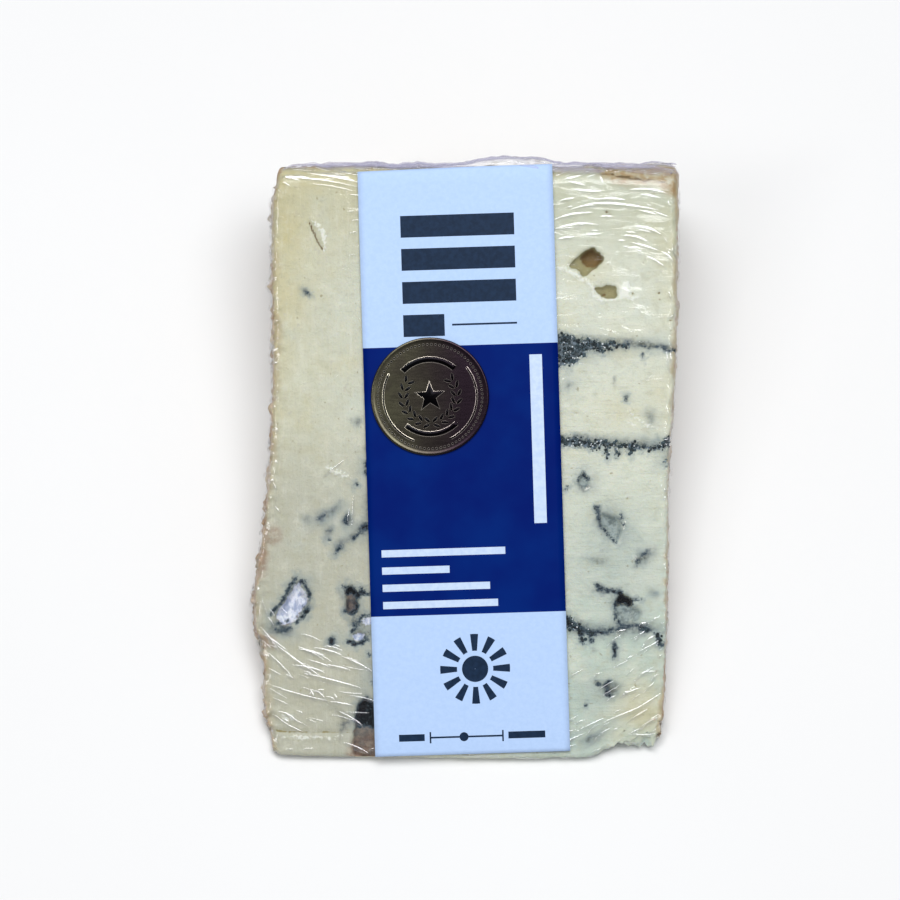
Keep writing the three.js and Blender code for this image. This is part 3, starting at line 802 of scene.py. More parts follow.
def addRind(tree, paste):  # the rind, a warm layer under it, and stains where it reaches over onto the face
    x = tree.place["X"]
    under = tree.ragged("skin", tree.blotch, -0.7, 0.7)
    paste = tree.tints(paste, (under, tree.step(x, 0, 4, 1.7, 0.75), 0.0, 0.65, (178, 158, 116)))
    ochre = tree.mix(tree.leftToRight, colour(156, 124, 104), colour(168, 142, 100))
    ochre = tree.tints(ochre, (tree.crumb, 0.5, 0.68, 0.5, (214, 204, 178)))
    paste = tree.mix(tree.cloud("stain", tree.crumb, 1.25, 0.55), paste, ochre)
    rind = tree.step(tree.ragged("skin", tree.crumb, -0.3, 0.3), tree.step(x, 0, 4, 0.6, 0.3), 0.0)
    return tree.mix(rind, paste, rindColour(tree))


def addHollows(tree, paste):  # the insides of the eyes and the pockets, with painted shade in them, and the cracks
    # painted shade: the eyes' insides turn browner and darker the deeper they are sunk
    deepShade = tree.step(tree.ragged("sunk", tree.crumb, -0.2, 0.2), 1.1, 1.5)
    eye = tree.mix(deepShade, colour(156, 150, 112), colour(138, 116, 76))
    eye = tree.tints(eye, (tree.attribute("sunk"), 2.0, 3.0, 0.5, (116, 94, 62)))
    paste = tree.mix(tree.step(tree.ragged("sunk", tree.speckle, -0.12, 0.12), 0.2, 0.45), paste, eye)
    mottle = tree.step(tree.speck(0.9, 4, 0.7), 0.4, 0.62)
    brown = tree.mix(mottle, colour(50, 38, 42), colour(112, 90, 76))
    grey = tree.mix(mottle, colour(96, 112, 114), colour(160, 174, 172))
    # painted shade and growth: the pockets' floors darken to brown on the left and grey-blue on the right
    shadedFloor = tree.step(tree.ragged("hollow", tree.crumb, -0.3, 0.3), 0.1, 0.75, 0.0, 0.75)
    paste = tree.mix(shadedFloor, paste, tree.mix(tree.leftToRight, brown, grey))
    crack = tree.step(tree.ragged("crack", tree.speckle, -0.06, 0.06), -0.02, 0.16)
    edge = tree.mix(tree.step(tree.place["Z"], 22, 30), colour(150, 138, 86), colour(108, 88, 52))
    return tree.mix(crack, paste, edge)


def addMould(tree, paste):  # white mould, then the dark mould over all; also gives where the dark mould is
    hairy = tree.noise(tree.stretched((1100, 700, 700), (0, 0, 0.9)), 1, 5, 0.72)
    white = tree.mix(tree.step(hairy, 0.36, 0.62), colour(160, 172, 202), colour(240, 243, 250))
    paste = tree.mix(tree.step(tree.ragged("chalk", tree.crumb, -0.25, 0.25), -0.05, 0.2), paste, white)
    tatter = tree.speck(1.7, 5, 0.72)
    bandEdge = tree.ragged("band", tatter, -0.42, 0.42)
    ground = tree.step(tree.speck(1.5, 4, 0.7), 0.42, 0.62)
    ground = tree.mix(ground, colour(44, 60, 64), colour(104, 122, 136))
    paste = tree.mix(tree.step(bandEdge, -0.06, 0.22), paste, ground)
    spots = tree.product(tree.step(bandEdge, -0.8, -0.1), tree.step(tree.speckle, 0.5, 0.6))
    paste = tree.tints(paste, (spots, 0.2, 0.9, 0.6, (62, 80, 82)))
    darkEdge = tree.ragged("dark", tatter, -0.3, 0.27)
    mould = tree.mix(tree.step(tree.speck(0.25, 2), 0.42, 0.58), colour(4, 12, 18), colour(26, 20, 24))
    mould = tree.tints(mould, (tree.speck(2.1, 3, 0.6), 0.5, 0.72, 0.7, (64, 78, 86)),
                       (darkEdge, 0.4, 0.0, 0.85, (72, 90, 102)))
    darkness = tree.step(darkEdge, -0.34, 0.16)
    return tree.mix(darkness, paste, mould), darkness


def cheeseMaterial():
    material, tree = newMaterial("cheese_paste", CheeseTree)
    paste = addHollows(tree, addRind(tree, addGrowth(tree, plainPaste(tree))))
    paste, darkness = addMould(tree, paste)
    matt = tree.math("MAXIMUM", darkness, tree.step(tree.attribute("sunk"), 0.2, 0.6))
    relief = tree.math("ADD", tree.product(tree.speckle, 0.6), tree.crumb)
    relief = tree.math("ADD", relief, tree.drag)
    finishMaterial(tree, {
        "Base Color": paste, "Roughness": tree.shake(tree.crumb, 0.36, 0.52),
        "Specular IOR Level": tree.step(matt, 0.0, 1.0, 0.4, 0.06),
        "Subsurface Weight": 0.25, "Subsurface Radius": (1.0, 0.75, 0.42), "Subsurface Scale": 0.0007,
        "Normal": tree.bump(relief, 0.00018, 0.9)})
    return material


cheese = makeCheese(cheeseMaterial())
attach(cheese, "root")
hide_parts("cheese")
print("cheese made:", len(cheese.data.polygons), "faces")


# --- geometry nodes: a tree is built once, and its result becomes a plain mesh

class Geometry(Tree):
    def __init__(self, name, sizes):  # sizes are the tree's named inputs, with their socket kinds
        self.group = bpy.data.node_groups.new(name, "GeometryNodeTree")
        super().__init__(self.group)
        face = self.group.interface
        face.new_socket("Geometry", in_out="INPUT", socket_type="NodeSocketGeometry")
        face.new_socket("Geometry", in_out="OUTPUT", socket_type="NodeSocketGeometry")
        self.keys = {}
        for label, kind in sizes.items():
            socket = face.new_socket(label, in_out="INPUT", socket_type="NodeSocket" + kind)
            self.keys[label] = socket.identifier
        self.given = self.nodes.new("NodeGroupInput").outputs

    def named(self, name, kind="FLOAT"):
        made = self.add("GeometryNodeInputNamedAttribute", {"Name": name}, data_type=kind)
        return made.outputs["Attribute"]

    def finish(self, geometry):  # ends the tree
        real = self.add("GeometryNodeRealizeInstances", {"Geometry": geometry}).outputs[0]
        coated = self.add("GeometryNodeSetMaterial", {"Geometry": real, "Material": self.given["Material"]})
        out = self.nodes.new("NodeGroupOutput")
        self.links.new(coated.outputs[0], out.inputs[0])

    def bake(self, name, source, values):  # the tree's result on source, as a plain mesh object
        modifier = source.modifiers.new(name, "NODES")
        modifier.node_group = self.group
        for label, value in values.items():
            modifier[self.keys[label]] = value
        evaluated = source.evaluated_get(bpy.context.evaluated_depsgraph_get())
        mesh = bpy.data.meshes.new_from_object(evaluated)
        source.modifiers.remove(modifier)
        mesh.name = name
        return linked(name, mesh)


# --- mould grains: small wet beads of mould where the veins are thick, and small white beads above them painted as their glints

grains = {"density": 4.2e6, "smallest": 0.00012, "largest": 0.0003, "seed": 4, "least": -0.1, "above": 0.0}
paintedGlints = {"density": 3.2e6, "smallest": 0.00007, "largest": 0.00016, "seed": 8, "least": 0.0, "above": 0.0002}


def grainMaterial():
    material, tree = newMaterial("mould_grain")
    tone, point = tree.attribute("tone"), tree.millimetres()
    body = tree.mix(tree.step(tone, 0.3, 0.95), colour(18, 32, 36), colour(66, 86, 94))
    # the whitest tone is a painted highlight: white beads that stand in for glints on the wet grains
    body = tree.tints(body, (tone, 1.2, 1.5, 1.0, (150, 168, 180)), (tone, 1.6, 1.7, 1.0, (240, 246, 250)),
                      (tree.noise(point, 6, 2), 0.4, 0.7, 0.4, (38, 56, 54)))
    finishMaterial(tree, {"Base Color": body, "Roughness": tree.shake(tree.noise(point, 4, 2), 0.25, 0.5),
                          "Specular IOR Level": 0.25})
    return material


def grainTree():
    tree = Geometry("mould_grain_scatter", {"Density": "Float", "Least vein": "Float", "Smallest": "Float",
                                            "Largest": "Float", "Seed": "Int", "Above": "Float",
                                            "Tone": "Float", "Material": "Material"})
    given = tree.given
    inside = tree.math("GREATER_THAN", tree.named("band"), given["Least vein"])
    spread = tree.add("GeometryNodeDistributePointsOnFaces", {
        "Mesh": given["Geometry"], "Selection": inside, "Density": given["Density"],
        "Seed": given["Seed"]}).outputs
    size = tree.add("FunctionNodeRandomValue", {
        2: given["Smallest"], 3: given["Largest"], "Seed": given["Seed"]}, data_type="FLOAT")
    bead = tree.add("GeometryNodeMeshUVSphere", {"Segments": 8, "Rings": 5, "Radius": 1.0})
    placed = tree.add("GeometryNodeInstanceOnPoints", {
        "Points": spread["Points"], "Instance": bead.outputs["Mesh"], "Rotation": spread["Rotation"],
        "Scale": size.outputs[1]}).outputs[0]
    rise = tree.add("ShaderNodeCombineXYZ", {"Z": given["Above"]}).outputs[0]
    raised = tree.add("GeometryNodeTranslateInstances", {"Instances": placed, "Translation": rise})
    chance = tree.add("FunctionNodeRandomValue", {"Seed": 9}, data_type="FLOAT")
    toned = tree.add("GeometryNodeStoreNamedAttribute", {
        "Geometry": raised.outputs[0], "Name": "tone",
        "Value": tree.math("ADD", chance.outputs[1], given["Tone"])}, data_type="FLOAT", domain="INSTANCE")
    tree.finish(tree.add("GeometryNodeSetShadeSmooth", {0: toned.outputs[0]}).outputs[0])
    return tree


grainMaker, grainLook = grainTree(), grainMaterial()
for name, look, tone in (("mould_grains", grains, 0.0), ("mould_painted_glints", paintedGlints, 1.15)):
    beads = grainMaker.bake(name, cheese, {
        "Density": look["density"], "Least vein": look["least"], "Smallest": look["smallest"],
        "Largest": look["largest"], "Seed": look["seed"], "Above": look["above"], "Tone": tone,
        "Material": grainLook})
    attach(beads, "root")
    print(name + ":", len(beads.data.polygons), "faces")


# --- the film

filmLook = {
    "roundSteps": 4,
    "across": [(0.26, 34), (0.73, 16), (1.0, 36)],
    "along": [(1.0, 180)],
    "around": [(1.0, 14)],
    "height": 0.33,  # above the cheese, where it lies flat
    "thickness": 0.04,
    "ripple": 0.045,  # on the labelled face
    "backRipple": 0.04,
    "pleat": 0.12,  # round the edges and down the sides
    "pulledIn": 0.14,  # how much closer it lies there
    "hump": {"rise": 1.2, "x": 6.4, "half": 6.5},  # where it stands off the curved rind
    "labelX": -1.0,  # the label keeps it down, from here to this far on each side
    "labelHalf": 16,
    "clings": {"right": 0.7, "topLeft": 0.7, "eyes": 0.9},  # how closely it lies there, where 1 hardly shines
    "eyesAt": (19.0, 84.4),
    "eyesHalf": (3.0, 2.6),
}


def filmMaterial(name, whiteness, layer):
    material, tree = newMaterial(name)
    wave = tree.noise(tree.stretched((120, 420, 420)), 1, 3, 0.5, 0.8)
    fine = tree.noise(tree.stretched((500, 900, 900)), 1, 2, 0.5, 0.4)
    normal = tree.bump(tree.math("ADD", wave, tree.product(fine, 0.25)), 0.00012, layer)
    facing = tree.add("ShaderNodeLayerWeight", {"Blend": 0.5, "Normal": normal}).outputs["Facing"]
    glancing = tree.product(tree.math("POWER", facing, 5.0), 0.5)
    amount = tree.math("ADD", glancing, 0.025 + whiteness, clamp=True)
    amount = tree.product(amount, tree.step(tree.attribute("cling"), 0.0, 1.0, 1.0, 0.1))
    finishMaterial(tree, {
        "Base Color": (0.93, 0.93, 0.97, 1), "Roughness": 0.09, "Specular IOR Level": 0.5, "Metallic": 1.0,
        "Normal": normal}, amount)
    return material


def filmLift(points, normal):  # how far the film stands off its parallel place
    look, hump = filmLook, filmLook["hump"]
    up, down = smooth(0.8, 0.99, normal @ faceOut), smooth(0.9, 0.99, -normal[:, 2])
    ripple = grain(points / np.array([5.0, 1.6, 1.6]), 1.0, 21)
    pleat = grain(points / np.array([2.0, 2.2, 7.0]), 1.0, 22)
    skin = rindDepth(points - normal * look["height"])
    bulge = hump["rise"] * np.exp(-((points[:, 0] - hump["x"]) / hump["half"]) ** 2)
    bulge = bulge * smooth(0.2, 0.8, normal @ faceUp) * smooth(24, 29, points[:, 2])
    lift = (up * look["ripple"] + down * look["backRipple"]) * ripple + bulge
    lift = lift + (1 - up - down) * (look["pleat"] * pleat - look["pulledIn"])
    return lift + (1 - down) * rindLumps(points, skin)


def filmCling(points, normal):  # where the film lies so close that it hardly shines
    x, along, height = faceCoordinates(points)
    clings = filmLook["clings"]
    out = normal @ faceOut
    turned = smooth(0.001, 0.01, (1 - out) * np.where(x > 20, 4, 1))
    side = turned * np.maximum(smooth(-0.85, -0.5, grain(points, 2.5, 23)), smooth(-20, -25, x))
    right = clings["right"] * smooth(30.4, 32.2, x) * smooth(60, 76, along) * (out > 0.5)
    topLeft = clings["topLeft"] * smooth(-14, -17, x) * smooth(95.8, 97.2, along) * (out > 0.3)
    (eyeX, eyeAlong), (halfX, halfAlong) = filmLook["eyesAt"], filmLook["eyesHalf"]
    far = ((x - eyeX) / halfX) ** 2 + ((along - eyeAlong) / halfAlong) ** 2
    overEyes = clings["eyes"] * np.exp(-far) * (height > 0)
    return np.maximum.reduce([side, right, topLeft, overEyes])


def makeFilm(material):
    axes = [axisSteps(filmLook[k], filmLook["roundSteps"]) for k in ("across", "along", "around")]
    points, normal, quads = wedgeSurface(axes, filmLook["height"])
    lift = filmLift(points, normal)
    besideLabel = np.abs(points[:, 0] - filmLook["labelX"]) >= filmLook["labelHalf"]
    lift = np.where(besideLabel | (normal @ faceOut <= 0.9), lift, np.minimum(lift, 0.05))
    made = meshObject("clear_film", wearNose(points + normal * lift[:, None], 0.0), quads, [material],
                      attributes={"cling": filmCling(points, normal)})
    addWall(made, filmLook["thickness"])
    return made


film = makeFilm(filmMaterial("stretch_film", 0.0, 0.5))
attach(film, "root")
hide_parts("film_wrap")
print("film made:", len(film.data.polygons), "faces")


# --- creases: pulled ridges in the film, each a low arch that follows a line on the wedge

creases = {"arch": 0.26, "seed": 6}  # how high an arch stands for half its width
strokes = [  # the longest creases on the labelled face: half width, then X and along of its points
    (0.5, (20.4, 94.3), (22.6, 94.4), (24.8, 94.3)),
    (0.5, (15.8, 92.7), (20.3, 93.6), (24.9, 93.4), (30.0, 92.7)), (0.4, (15.8, 97.2), (18.4, 96.6)),
    (0.45, (16.4, 96.0), (19.0, 95.6), (21.2, 95.7)), (0.45, (25.4, 95.9), (28.6, 95.9), (31.4, 95.4)),
    (0.35, (27.2, 95.2), (30.5, 94.6)), (0.4, (14.2, 94.0), (16.8, 94.6)),
    (0.4, (27.0, 92.6), (30.0, 91.9)), (0.45, (13.4, 91.1), (16.4, 91.9), (19.6, 92.3)),
    (0.35, (20.7, 91.6), (23.0, 91.6)), (0.45, (13.4, 89.6), (17.6, 90.4), (20.5, 90.3)),
    (0.35, (18.2, 88.7), (21.1, 88.8)), (0.4, (13.9, 87.9), (16.6, 88.4)),
    (0.3, (24.8, 89.1), (26.5, 89.0)), (0.45, (26.1, 90.1), (28.4, 89.7), (30.7, 88.7)),
    (0.45, (24.2, 88.6), (26.6, 88.3), (28.6, 87.5)), (0.4, (25.7, 87.5), (30.1, 86.2)),
    (0.35, (25.1, 86.6), (27.3, 86.6)), (0.3, (23.6, 87.7), (24.9, 87.8)),
    (0.35, (30.6, 86.1), (31.8, 85.2), (32.6, 84.2)), (0.3, (28.2, 85.4), (31.2, 83.6)),
    (0.4, (16.1, 8.7), (21.4, 11.2)), (0.5, (21.2, 10.2), (27.0, 12.8), (30.8, 15.5)),
    (0.35, (21.9, 14.1), (23.3, 14.9)), (0.4, (23.8, 14.5), (27.2, 16.2)),
    (0.4, (25.1, 10.0), (28.5, 12.8)), (0.4, (26.6, 7.9), (30.8, 11.5)), (0.35, (27.2, 18.5), (29.8, 18.8)),
    (0.4, (18.0, 6.6), (22.6, 9.0)), (0.35, (27.8, 9.0), (31.0, 12.6)), (0.3, (25.8, 16.9), (29.4, 19.6)),
    (0.3, (26.6, 21.4), (28.9, 23.0)), (0.4, (26.2, 23.5), (28.0, 25.3)),
    (0.45, (27.4, 22.4), (29.4, 24.6)), (0.35, (23.2, 24.9), (25.0, 25.5)),
    (0.4, (26.9, 26.1), (28.4, 26.6)), (0.35, (27.9, 21.8), (30.0, 23.6)),
    (0.3, (22.0, 22.9), (24.2, 24.7)), (0.45, (-25.6, 15.9), (-24.9, 13.9)),
    (0.4, (-24.9, 15.5), (-23.4, 15.9)), (0.35, (-23.0, 14.8), (-21.4, 14.1)),
    (0.35, (-21.8, 15.2), (-21.0, 13.6)), (0.4, (-30.8, 12.4), (-29.2, 11.8), (-27.8, 10.9)),
    (0.3, (-30.2, 11.2), (-28.8, 10.6)), (0.5, (-31.6, 23.4), (-27.6, 20.2), (-23.8, 17.9)),
    (0.45, (-27.6, 22.4), (-23.2, 21.3)), (0.45, (-25.1, 22.6), (-20.5, 21.4)),
    (0.4, (-23.5, 22.9), (-20.4, 22.1)), (0.45, (-28.6, 19.8), (-23.4, 18.8)),
    (0.45, (-23.6, 19.9), (-19.0, 18.9)), (0.55, (-26.8, 18.5), (-22.2, 17.2), (-17.5, 16.1)),
    (0.45, (-20.6, 21.2), (-15.7, 18.8)), (0.4, (-32.0, 16.6), (-27.4, 15.0), (-22.6, 14.0)),
    (0.45, (-24.6, 15.8), (-22.8, 13.6)), (0.4, (-22.8, 13.9), (-18.8, 13.3)),
    (0.4, (-21.0, 12.4), (-17.0, 10.0)), (0.45, (-20.4, 7.6), (-16.2, 5.8)),
    (0.35, (-33.4, 25.8), (-30.4, 21.6)), (0.35, (-32.6, 22.0), (-28.2, 17.6)),
    (0.3, (-20.2, 52.6), (-23.8, 49.6)), (0.25, (-18.6, 47.0), (-18.9, 41.6)),
    (0.25, (-19.3, 45.0), (-19.6, 42.0)), (0.25, (31.4, 70.4), (31.9, 66.2)),
    (0.2, (32.0, 70.0), (32.3, 67.2)), (0.3, (-29.0, 97.8), (-24.0, 97.4), (-18.4, 96.5)),
    (0.22, (-25.6, 96.9), (-22.0, 96.4), (-18.4, 95.7)), (0.2, (-21.6, 97.8), (-19.5, 97.4), (-16.8, 96.8)),
    (0.22, (-30.0, 97.2), (-28.8, 96.4)), (0.2, (-19.6, 95.2), (-16.8, 94.8)),
]
# surface, its two ranges, how many, lengths, turns at each end of the first range, half widths
creaseFamilies = [
    ("face", (14.2, 32.4), (86.0, 95.0), 14, (1.0, 3.0), (9, -19), (0.14, 0.26)),
    ("face", (31.0, 33.2), (76.0, 96.0), 7, (0.8, 2.4), (-75, -62), (0.12, 0.22)),
    ("face", (14.4, 31.0), (6.6, 19.0), 26, (1.2, 4.5), (24, 46), (0.16, 0.32)),
    ("face", (23.0, 31.6), (20.0, 27.0), 8, (1.0, 3.5), (26, 42), (0.14, 0.3)),
    ("face", (-33.0, -16.4), (10.0, 24.5), 30, (1.2, 5.0), (-30, -9), (0.16, 0.34)),
    ("face", (-33.4, -29.0), (21.0, 31.0), 9, (1.2, 4.0), (-66, -48), (0.16, 0.3)),
    ("face", (-32.4, -30.8), (44.0, 96.0), 40, (0.5, 2.0), (-80, -50), (0.12, 0.24)),
    ("left", (20.0, 96.0), (0.0, 1.2), 60, (0.6, 2.2), (60, 120), (0.12, 0.3)),
    ("face", (-19.5, -17.0), (84.0, 97.0), 8, (0.8, 2.0), (4, 10), (0.12, 0.22)),
    ("outer", (-30.0, -16.0), (0.2, 3.4), 26, (2.0, 9.0), (-6, -6), (0.2, 0.5)),
    ("outer", (14.0, 32.5), (1.4, 4.2), 40, (1.5, 7.0), (26, 20), (0.2, 0.5)),
    ("outer", (-16.0, 14.0), (2.0, 5.0), 30, (3.0, 13.0), (-9, -9), (0.25, 0.6)),
    ("outer", (-30.0, 33.0), (4.0, 31.0), 70, (3.0, 16.0), (70, 110), (0.3, 0.8)),
    ("left", (8.0, 96.0), (0.2, 14.0), 70, (2.0, 9.0), (60, 120), (0.25, 0.6)),
    ("right", (8.0, 96.0), (0.2, 14.0), 70, (2.0, 9.0), (60, 120), (0.25, 0.6)),
    ("nose", (-29.0, 29.0), (-0.6, 2.6), 26, (1.5, 8.0), (-10, 10), (0.18, 0.4)),
    ("back", (-31.0, 31.0), (12.0, 95.0), 46, (4.0, 22.0), (70, 110), (0.2, 0.5)),
    ("back", (-32.0, 32.0), (86.0, 98.0), 26, (3.0, 12.0), (-20, 20), (0.25, 0.6)),
]


def edgeSpot(surface, a, b):  # a is X, and b is how far past the flat part, round the edge and down
    sign, turn, end = (1, form["rindRound"], form["wheelRadius"]) if surface == "outer" \
        else (-1, form["noseRound"], form["noseRadius"])
    height = filmLook["height"]
    bend = np.clip(b / turn, 0, math.pi / 2)
    normal = np.cos(bend)[:, None] * faceOut + sign * np.sin(bend)[:, None] * faceUp
    place = onFace(a, end - sign * turn, -turn) + normal * (turn + height)
    place = place + sign * np.minimum(b, 0)[:, None] * faceUp
    down = np.maximum(b - turn * math.pi / 2, 0)
    if surface == "nose":
        return place - down[:, None] * faceOut, normal
    angle = form["wedgeAngle"] - math.atan(turn / (end + height)) - down / end  # round the wheel
    radial = np.stack([0 * a, np.cos(angle), np.sin(angle)], 1)
    around = radial * math.hypot(end + height, turn) + a[:, None] * xAxis
    onWall = (down > 0)[:, None]
    return np.where(onWall, around, place), np.where(onWall, radial, normal)


def sideSpot(surface, a, b):  # a is the distance from where the cut faces meet, and b is how far down
    sign, rind = (-1, form["leftRind"]) if surface == "left" else (1, form["rightRind"])
    turn = form["noseRound"] + (form["rindRound"] - form["noseRound"]) * np.clip((a - 6.2) / 91, 0, 1)
    bend = np.clip(b / turn, 0, math.pi / 2)
    normal = np.cos(bend)[:, None] * faceOut + sign * np.sin(bend)[:, None] * xAxis
    narrow = turn * form["sideRound"]
    place = onFace(follow(rind, a) - sign * narrow, a, -turn) + normal * (turn + filmLook["height"])[:, None]
    place[:, 0] -= normal[:, 0] * (turn - narrow)
    deepest = np.maximum(a * math.tan(form["wedgeAngle"]) - 2 * turn, 0)
    return place - np.clip(b - turn * math.pi / 2, 0, deepest)[:, None] * faceOut, normal


def filmSpot(surface, a, b):  # a place on the film and its normal, from two lengths along one surface
    if surface == "face":
        return onFace(a, b, filmLook["height"]), np.tile(faceOut, (len(a), 1))
    if surface == "back":
        return np.stack([a, b, 0 * a - filmLook["height"]], 1), np.tile([0, 0, -1.0], (len(a), 1))
    return (edgeSpot if surface in ("outer", "nose") else sideSpot)(surface, a, b)


def creaseLines():  # surface, points and half width for each crease
    random.seed(creases["seed"])
    lines = []
    for half, *path in strokes:
        corners = np.array(path, float)
        lengths = np.concatenate([[0], np.cumsum(np.linalg.norm(np.diff(corners, axis=0), axis=1))])
        at = np.linspace(0, lengths[-1], max(6, int(lengths[-1] * 2.5)) + 1)
        a, b = [follow(list(zip(lengths, corners[:, k])), at) for k in (0, 1)]
        lines.append(("face", a, b, half))
    for surface, (a0, a1), (b0, b1), count, lengths, turns, halves in creaseFamilies:
        for i in range(count):
            a, b = random.uniform(a0, a1), random.uniform(b0, b1)
            tilt = turns[0] + (turns[1] - turns[0]) * (a - a0) / (a1 - a0)
            turn = math.radians(tilt + random.gauss(0, 5))
            length = lengths[0] + (lengths[1] - lengths[0]) * random.random() ** 1.8
            bow, half = random.uniform(-0.06, 0.06) * length, random.uniform(*halves)
            t = np.linspace(0, 1, max(6, int(length * 2.2)) + 1)
            reach, rise = (t - 0.5) * length, bow * (1 - (2 * t - 1) ** 2)
            lines.append((surface, a + reach * math.cos(turn) - rise * math.sin(turn),
                          b + reach * math.sin(turn) + rise * math.cos(turn), half))
    return lines


def creaseTree():
    tree = Geometry("film_crease_arches", {"Arch": "Float", "Sides": "Int", "Material": "Material"})
    given = tree.given
    line = tree.add("GeometryNodeMeshToCurve", {"Mesh": given["Geometry"]}).outputs[0]
    line = tree.add("GeometryNodeSetCurveNormal", {
        "Curve": line, "Normal": tree.named("up", "FLOAT_VECTOR")}, mode="FREE").outputs[0]
    # the arch's middle lies along the curve's normal, and its ends lie below the sheet
    arc = tree.add("GeometryNodeCurveArc", {
        "Resolution": given["Sides"], "Radius": 1.0, "Start Angle": math.radians(-100),
        "Sweep Angle": math.radians(200)})
    flat = tree.add("ShaderNodeCombineXYZ", {"X": given["Arch"], "Y": 1.0, "Z": 1.0}).outputs[0]
    low = tree.add("GeometryNodeTransform", {"Geometry": arc.outputs[0], "Scale": flat}).outputs[0]
    swept = tree.add("GeometryNodeCurveToMesh", {"Curve": line, "Profile Curve": low,
                                                 "Scale": tree.named("girth")}).outputs[0]
    soft = tree.add("GeometryNodeSetShadeSmooth", {0: swept}).outputs[0]
    tree.finish(soft)
    return tree


def insideSurface(surface, a, b):  # which points of a line keep to their own surface
    if surface in ("face", "back"):
        at = np.abs(b) if surface == "face" else np.hypot(b, 1)
        left, right = follow(form["leftRind"], at) + 0.7, follow(form["rightRind"], at) - 0.5
        return (a > left) & (a < right) & (b < 98)
    first, last = (8, 97) if surface in ("left", "right") else (-30.5, 32.8)
    deepest = {"outer": 29.5, "nose": 3.0}.get(surface, 3.8 + np.maximum(a * 0.344 - 5.6, 0))
    return (a > first) & (a < last) & (b < deepest)


def sweepLines(name, lines, material, arch, sides=8):
    points, normals, edges, girth = [], [], [], []
    count = 0
    for surface, a, b, half in lines:
        inside = insideSurface(surface, a, b)
        a, b = a[inside], b[inside]
        if len(a) < 4:
            continue
        place, normal = filmSpot(surface, a, b)
        taper = 0.08 + 0.92 * np.sin(math.pi * np.linspace(0, 1, len(a))) ** 0.7
        points.append(place)
        normals.append(normal)
        girth.append(half * taper)
        edges += [(count + k, count + k + 1) for k in range(len(a) - 1)]
        count += len(a)
    points, normals = np.concatenate(points), np.concatenate(normals)
    points = wearNose(points + normals * filmLift(points, normals)[:, None], 0.0)
    guide = guideObject(name, points, edges, {"girth": np.concatenate(girth) * mm, "up": normals})
    made = creaseMaker.bake(name, guide, {"Arch": arch, "Sides": sides, "Material": material})
    bpy.data.objects.remove(guide)
    return made


def foldMaterial():  # several layers of film, which look milky
    material, tree = newMaterial("film_folds")
    wave = tree.noise(tree.stretched((90, 700, 700)), 1, 4, 0.6, 0.8)
    normal = tree.bump(wave, 0.0002, 0.7)
    facing = tree.add("ShaderNodeLayerWeight", {"Blend": 0.5, "Normal": normal}).outputs["Facing"]
    amount = tree.math("ADD", tree.step(facing, 0.2, 1.0, 0.0, 0.5), tree.step(wave, 0.35, 0.7, 0.08, 0.4),
                       clamp=True)
    finishMaterial(tree, {"Base Color": colour(206, 204, 228), "Roughness": 0.22, "Normal": normal,
                          "Specular IOR Level": 0.8}, amount)
    return material


foldLook = {"count": 34, "seed": 19, "arch": 0.34, "sides": 10}


def foldLines():  # thick folds where the film is gathered over the rind's edge
    random.seed(foldLook["seed"])
    lines = []
    for i in range(foldLook["count"]):
        x, b, length = random.uniform(-27, 30), random.uniform(2.1, 5.4), random.uniform(7, 26)
        t = np.linspace(0, 1, 26)
        turn, bow = math.radians(random.gauss(-4 if x > 8 else 1, 3)), random.uniform(-0.7, 0.7)
        a = np.clip(x + (t - 0.5) * length, -30.5, 32.6)
        sway = (t - 0.5) * length * math.sin(turn) + bow * np.sin(math.pi * t)
        lines.append(("outer", a, b + sway, random.uniform(0.5, 1.15)))
    return lines


creaseMaker = creaseTree()
creaseFilm = filmMaterial("film_crease", 0.12, 0.3)
creasePiece = sweepLines("film_creases", creaseLines(), creaseFilm, creases["arch"])
folds = sweepLines("film_folds", foldLines(), foldMaterial(), foldLook["arch"], foldLook["sides"])
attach(folds, "root")
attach(creasePiece, "root")
print("film creases:", len(creasePiece.data.polygons), "faces")


# --- the label

label = {
    "width": 31.2, "length": 94.0, "thickness": 0.1, "turn": math.radians(1.75),
    "topPanel": 28.6, "bottomPanel": 22.4,  # the white panels, at each end of the blue one
}
labelLow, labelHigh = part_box("front_label")
labelMiddle = (np.array(labelLow) + np.array(labelHigh)) / 2 / mm - shift


def onLabel(u, v, height):  # u across from the left edge, v up from the bottom edge
    u, v, height = np.broadcast_arrays(np.asarray(u, float), v, height)
    v = v - 0.3 * np.clip(1 - u / 20, 0, 1) * smooth(84, 94, v)  # its top edge was cut a little askew
    du, dv = u - label["width"] / 2, v - label["length"] / 2
    cosine, sine = math.cos(label["turn"]), math.sin(label["turn"])
    sag = -0.5 * smooth(91.0, 94.5, v) ** 2 - 0.12 * smooth(2.5, -0.5, v)
    cockle = 0.03 * grain(np.stack([u.ravel(), v.ravel(), 0 * u.ravel()], 1), 14, 31).reshape(u.shape)
    return labelMiddle + onFace(du * cosine - dv * sine, du * sine + dv * cosine, height + sag + cockle)


def labelMaterial():
    material, tree = newMaterial("label_paper")
    v = tree.split(tree.add("ShaderNodeUVMap", uv_map="UVMap").outputs[0])["Y"]
    low, high, soft = label["bottomPanel"], label["length"] - label["topPanel"], 0.03
    inBlue = tree.product(tree.step(v, low - soft, low + soft), tree.step(v, high + soft, high - soft))
    point = tree.millimetres()
    fibre = tree.noise(point, 1.4, 5, 0.7)
    cloud = tree.noise(point, 0.09, 3, 0.5)
    # painted light: the white paper is tinted pale blue for the cool light on it
    white = tree.mix(tree.shake(fibre, 0.0, 1.0), colour(184, 211, 250), colour(191, 217, 255))
    ink = tree.mix(tree.shake(cloud, 0.0, 1.0), colour(0, 25, 106), colour(0, 38, 118))
    finishMaterial(tree, {
        "Base Color": tree.mix(inBlue, white, ink), "Roughness": tree.shake(fibre, 0.4, 0.5),
        "Specular IOR Level": 0.03, "Normal": tree.bump(fibre, 0.00002, 0.5)})
    return material


